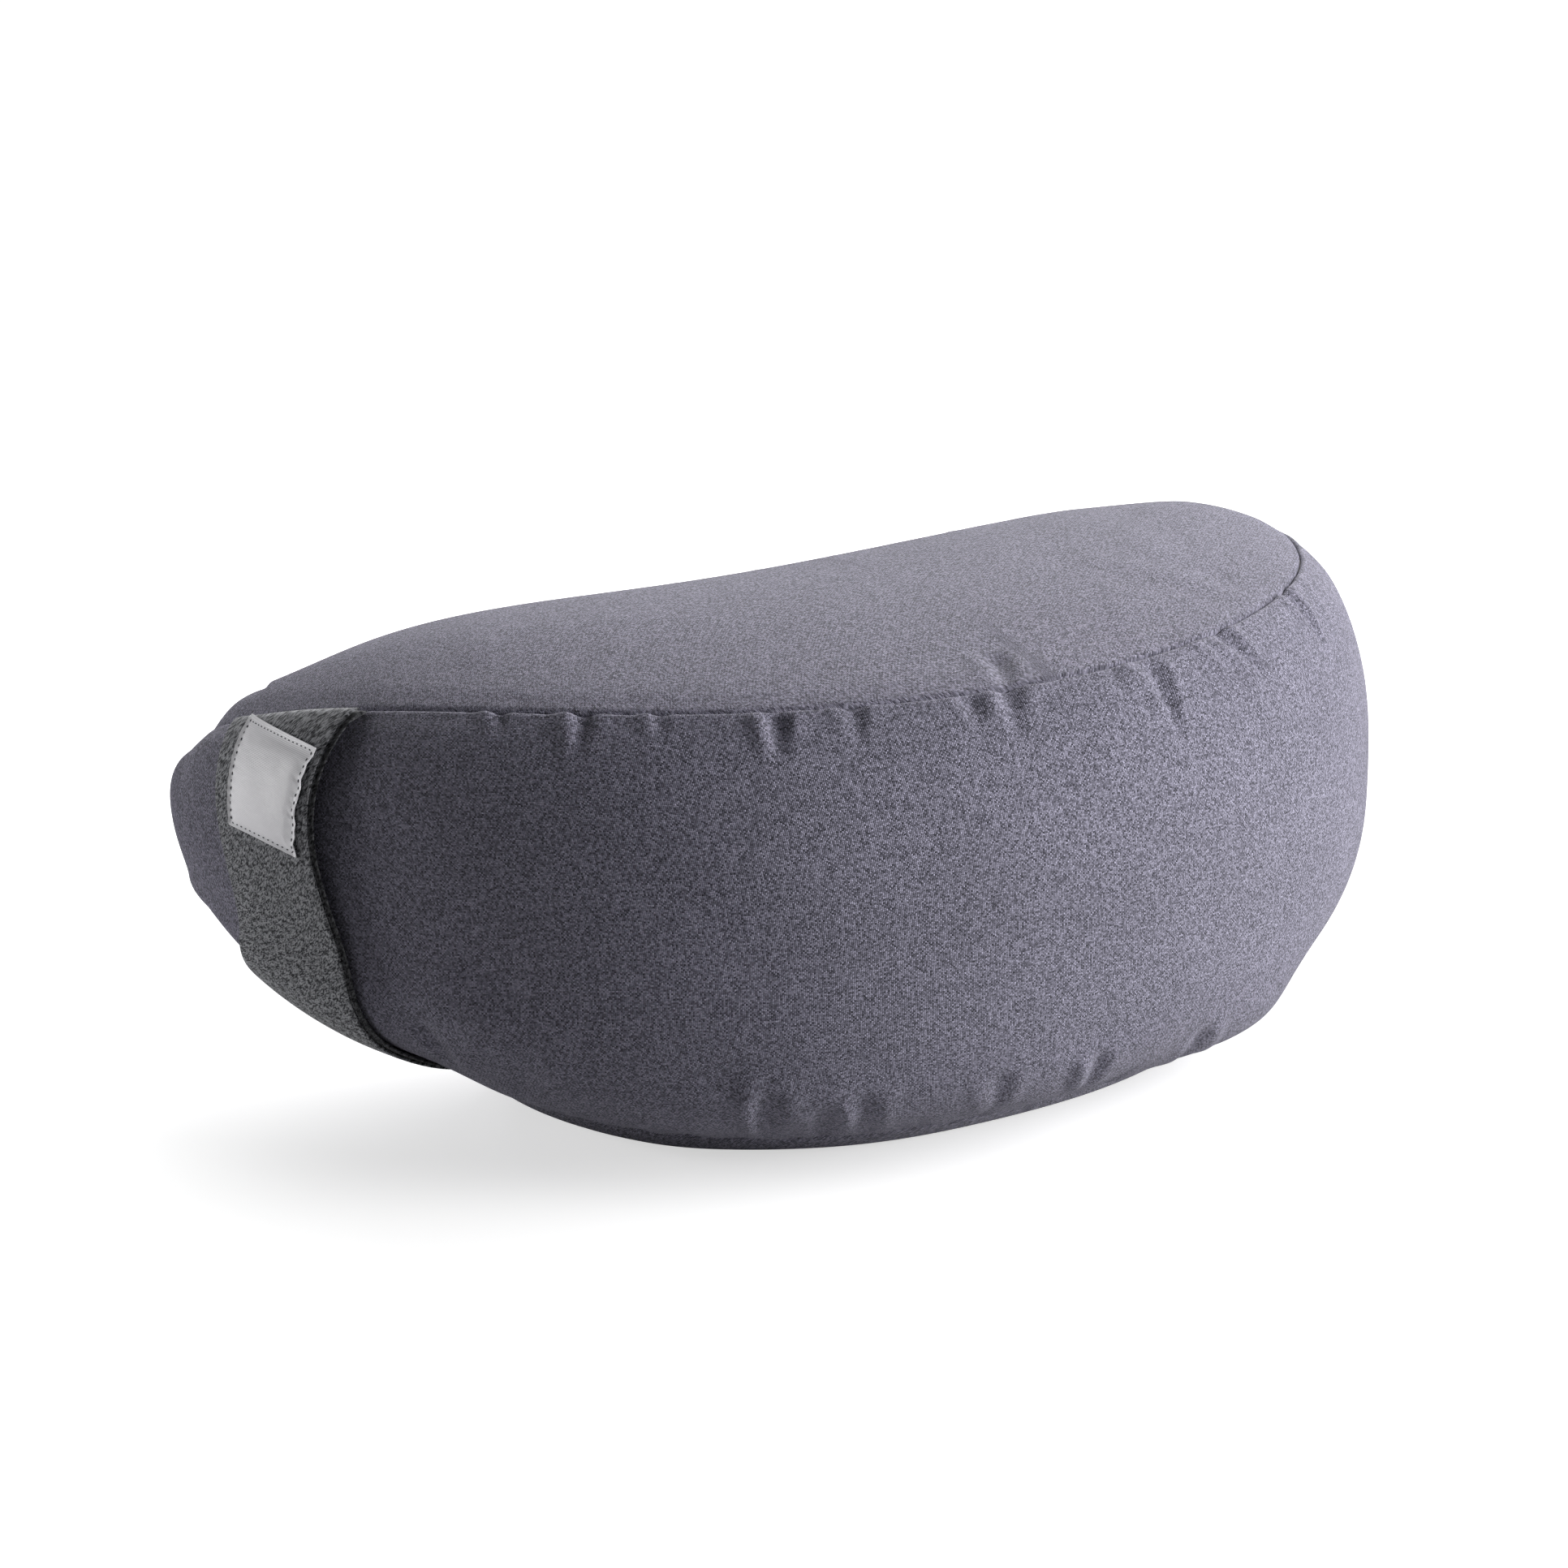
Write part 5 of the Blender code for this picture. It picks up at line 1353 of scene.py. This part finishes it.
class SewStrap(bpy.types.Operator):
    """Carry strap of two plies over the left horn"""
    bl_idname = "cushion.sew_strap"
    bl_label = "Sew the carry strap"

    def execute(self, context):
        heather = heather_look(context.scene.cushion_strap)
        lining = strap_ply("strap_lining", 0.0, (0.0, 1.02), heather)
        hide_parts("carry_strap_lining")
        face = strap_ply("strap_face", -(STRAP_CLOTH + CLEAR), (0.0, 0.985), heather)
        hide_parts("carry_strap_face")
        for made in (lining, face):
            as_sheet(made, *STRAP_CUT, "stretched", ["cover_front"])
        return {"FINISHED"}


class SewLabel(bpy.types.Operator):
    """Blank satin label with its dotted stitches"""
    bl_idname = "cushion.sew_label"
    bl_label = "Sew the label"

    def execute(self, context):
        settings = context.scene.cushion_strap
        share = np.linspace(0.0, 1.0, 61)
        down, across = np.meshgrid(share, share, indexing="ij")
        rim = np.minimum(np.minimum(down, 1.0 - down), np.minimum(across, 1.0 - across)) * LABEL_SIDE
        curl = 0.0005 * (1.0 - smooth(rim, 0.0, settings.label_inset))
        puff = 0.00035 * smooth(rim, settings.label_inset, 0.008)
        puff = puff + 0.00008 * np.sin(down * 60.0) * (rim < 0.004)
        outer = label_place(down, across, LABEL_CLOTH + curl + puff)[0]
        inner = label_place(down, across, curl + puff)[0]
        flat = np.stack((across * LABEL_MAP, down * LABEL_MAP), -1)
        label = cloth_shell("label_patch_satin", outer, inner, flat, satin_look(settings))
        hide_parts("label_patch")
        as_sheet(label, *LABEL_CUT, "laid", ["strap_face"])
        thread = thread_look("label_thread", settings.thread)
        inset = settings.label_inset / LABEL_MAP
        steps = np.linspace(inset, 1.0 - inset, 41)
        low, high = np.full(41, inset), np.full(41, 1.0 - inset)
        corners = [(low, steps), (steps, high), (high, steps[::-1]), (steps[::-1], low)]
        down = np.concatenate([side[0][:-1] for side in corners] + [[inset]])
        across = np.concatenate([side[1][:-1] for side in corners] + [[inset]])
        points, outward = label_place(down, across, LABEL_CLOTH + STITCH_LIFT)
        row = grown("label_stitches", stitch_tree(), line_mesh("label_stitches", points, outward),
                    {"Stitch": settings.label_stitch, "Gap": 0.0013, "Thread": 0.00045, "Material": thread})
        return {"FINISHED"}


class FillInside(bpy.types.Operator):
    """Cotton inner bag and its loose hulls"""
    bl_idname = "cushion.fill_inside"
    bl_label = "Fill the inside"

    def execute(self, context):
        settings = context.scene.cushion_inside
        form = soft_form(context)
        cotton = cotton_look(settings)
        depth = CANVAS + CLEAR
        runs, shares = even_stations(-1.0, 1.0, 120), edge_shares(44, TOP_FACE_WIDTH)
        heights = even_rows(0.0, 1.0, 68)
        top = crescent_face("inner_bag_top", form.top, depth, LINER_CLOTH, runs, shares, cotton)
        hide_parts("liner_top")
        base = crescent_face("inner_bag_base", form.base, depth, LINER_CLOTH, runs, shares, cotton)
        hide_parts("liner_base")
        front = side_strip("inner_bag_front", form, even_stations(-1.0, 1.0, 200), heights, depth,
                           LINER_CLOTH, cotton)
        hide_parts("liner_front")
        stations = even_stations(1.0, 3.0, 160)
        pocket = depth + pocket_for_zip(stations[:, None], heights)
        back = side_strip("inner_bag_back", form, stations, heights, pocket, LINER_CLOTH, cotton)
        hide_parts("liner_back")
        for made, cut in ((top, TOP_CUT), (base, BASE_CUT), (front, FRONT_CUT), (back, BACK_CUT)):
            as_sheet(made, *cut, "stretched", ["hull_filling"])

        points, faces, _, _ = closed_skin(form, even_stations(-1.0, 1.0, 130), shares,
                                          even_rows(0.0, 1.0, 60)[1:-1], depth + LINER_CLOTH + LOOSE_FILLING,
                                          pocket_for_zip)
        made = finish_mesh("hull_filling", points, faces, None, hull_look(settings), join=3e-5)
        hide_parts("hull_fill")
        return {"FINISHED"}


def pocket_for_zip(station, height):
    """Extra depth of the inner bag and the filling on the hollow side, deepest behind the zip."""
    run = run_of(station)
    q = np.where(height >= WIDEST, (height - WIDEST) / (1.0 - WIDEST), (WIDEST - height) / WIDEST)
    behind_zip = 1.0 - smooth(run, ZIP_ARC_RUN, 0.95)
    depth = LOOSE_LINER * (1.0 - run**12) + (ZIP_POCKET - LOOSE_LINER) * behind_zip
    return np.where(station > 1.0, depth * (1.0 - q**6), 0.0)


class SewZip(bpy.types.Operator):
    """Zip tapes, tooth rows, stitches, stops, slider and pull"""
    bl_idname = "cushion.sew_zip"
    bl_label = "Sew the zip"

    def execute(self, context):
        settings = context.scene.cushion_zip
        form = soft_form(context)
        tape = tape_look(settings)
        stations = 2.0 + (ZIP_RUN + 0.050) * np.linspace(-1.0, 1.0, 201)
        past_stops = ZIP_RUN + 1.3 * STOP_LENGTH / ZIP_RADIUS * ZIP_ARC_RUN / ZIP_ARC_ANGLE
        joined = smooth(run_of(stations), past_stops - 0.002, past_stops + 0.006)
        near = COIL_HALF_WIDTH * (1.0 - joined[:, None]) + CLEAR
        offsets = near + (TAPE_REACH - near) * np.linspace(0.0, 1.0, 21)[None, :]
        for row, sign in ZIP_ROWS:
            heights = share_at(stations[:, None], sign * offsets)
            made = side_strip(f"zip_tape_{row}_weave", form, stations, heights, CANVAS + CLEAR,
                              TAPE_CLOTH, tape)
            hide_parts(f"zip_tape_{row}")
            as_sheet(made, *TAPE_CUT, "stretched", ["cover_back_upper", "cover_back_lower"])

        nylon = nylon_look(settings)
        teeth = tooth_tree()
        middle = (COIL_HALF_WIDTH + TOOTH_TIP) / 2
        phase = settings.tooth_pitch / 2 / ZIP_RADIUS
        for row, sign in ZIP_ROWS:
            late = 0.0 if sign > 0 else phase
            angle = np.linspace(-ZIP_HALF_ANGLE + phase / 2 + late, ZIP_HALF_ANGLE - phase * 1.5 + late, 241)
            outward = np.stack((-np.sin(angle), np.cos(angle), np.zeros_like(angle)), -1)
            name = f"zip_teeth_{row}"
            line = line_mesh(name, on_zip(angle, sign * middle, COIL_DEPTH + COIL_THICKNESS / 2), outward)
            values = {"Pitch": settings.tooth_pitch, "Width": settings.tooth_pitch * 0.66,
                      "Reach": COIL_HALF_WIDTH - TOOTH_TIP, "Thickness": COIL_THICKNESS - 0.0001,
                      "Lean": 0.14 * sign, "Material": nylon}
            made = grown(name, teeth, line, values)
            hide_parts(f"zip_coil_{row}")

        stitches = stitch_tree()
        thread = thread_look("cover_thread", settings.thread)
        angle = np.linspace(-ZIP_HALF_ANGLE - 0.05, ZIP_HALF_ANGLE + 0.05, 301)
        station = zip_station(angle)
        on_cover = {"Stitch": settings.stitch, "Gap": settings.gap, "Thread": 0.0005, "Material": thread}
        on_tape = {"Stitch": 0.0015, "Gap": 0.0006, "Thread": 0.00032, "Seed": 9, "Material": thread}
        for row, sign in ZIP_ROWS:
            height = share_at(station, sign * (opening_half(station) + ZIP_SEAM_AWAY))
            name, outward = f"zip_seam_{row}", side_out(station, height)
            points = form.side(station[:, None], height[:, None], -STITCH_LIFT)[:, 0]
            seam = grown(name, stitches, line_mesh(name, points, outward), on_cover)
            height = share_at(station, sign * TAPE_SEAM_AWAY)
            points = form.side(station[:, None], height[:, None], CANVAS + CLEAR - 0.00005)[:, 0]
            sewn = grown(f"zip_tape_stitches_{row}", stitches, line_mesh(name, points, outward), on_tape)

        metal = metal_look(settings)
        for node in ("zip_slider", "zip_pull", "zip_bottom_stop", "zip_top_stop_upper", "zip_top_stop_lower"):
            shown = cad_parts[node]
            shown.data.materials.clear()
            shown.data.materials.append(metal)
            shown.modifiers.new("joined corners", "WELD").merge_threshold = 1e-5
            worn = shown.modifiers.new("worn edges", "BEVEL")
            worn.width, worn.segments = settings.worn_edge, 2
            worn.limit_method, worn.angle_limit = "ANGLE", math.radians(35.0)
        return {"FINISHED"}


class CushionPanel(bpy.types.Panel):
    """Lists the cushion's pieces in the sidebar"""
    bl_idname = "VIEW3D_PT_crescent_cushion"
    bl_label = "Crescent cushion"
    bl_space_type = "VIEW_3D"
    bl_region_type = "UI"
    bl_category = "Cushion"

    def draw(self, context):
        for operator, group in STEPS:
            self.layout.operator(operator.bl_idname)
            if group:
                settings = getattr(context.scene, group)
                for key in settings.__annotations__:
                    self.layout.prop(settings, key)


STEPS = ((MakeStage, "cushion_stage"), (SewCover, "cushion_cover"), (FillInside, "cushion_inside"),
         (SewStrap, "cushion_strap"), (SewLabel, None), (SewZip, "cushion_zip"))


def register():
    for group in SETTINGS.values():
        bpy.utils.register_class(group)
    for key, group in SETTINGS.items():
        setattr(bpy.types.Scene, key, PointerProperty(type=group))
    for operator, _ in STEPS:
        bpy.utils.register_class(operator)
    bpy.utils.register_class(CushionPanel)


def unregister():
    bpy.utils.unregister_class(CushionPanel)
    for operator, _ in reversed(STEPS):
        bpy.utils.unregister_class(operator)
    for key in SETTINGS:
        delattr(bpy.types.Scene, key)
    for group in reversed(list(SETTINGS.values())):
        bpy.utils.unregister_class(group)


def main():
    register()
    for operator, _ in STEPS:
        group, name = operator.bl_idname.split(".")
        if getattr(getattr(bpy.ops, group), name)() != {"FINISHED"}:
            raise RuntimeError(f"{operator.bl_label} didn't finish")


if __name__ == "__main__":
    main()
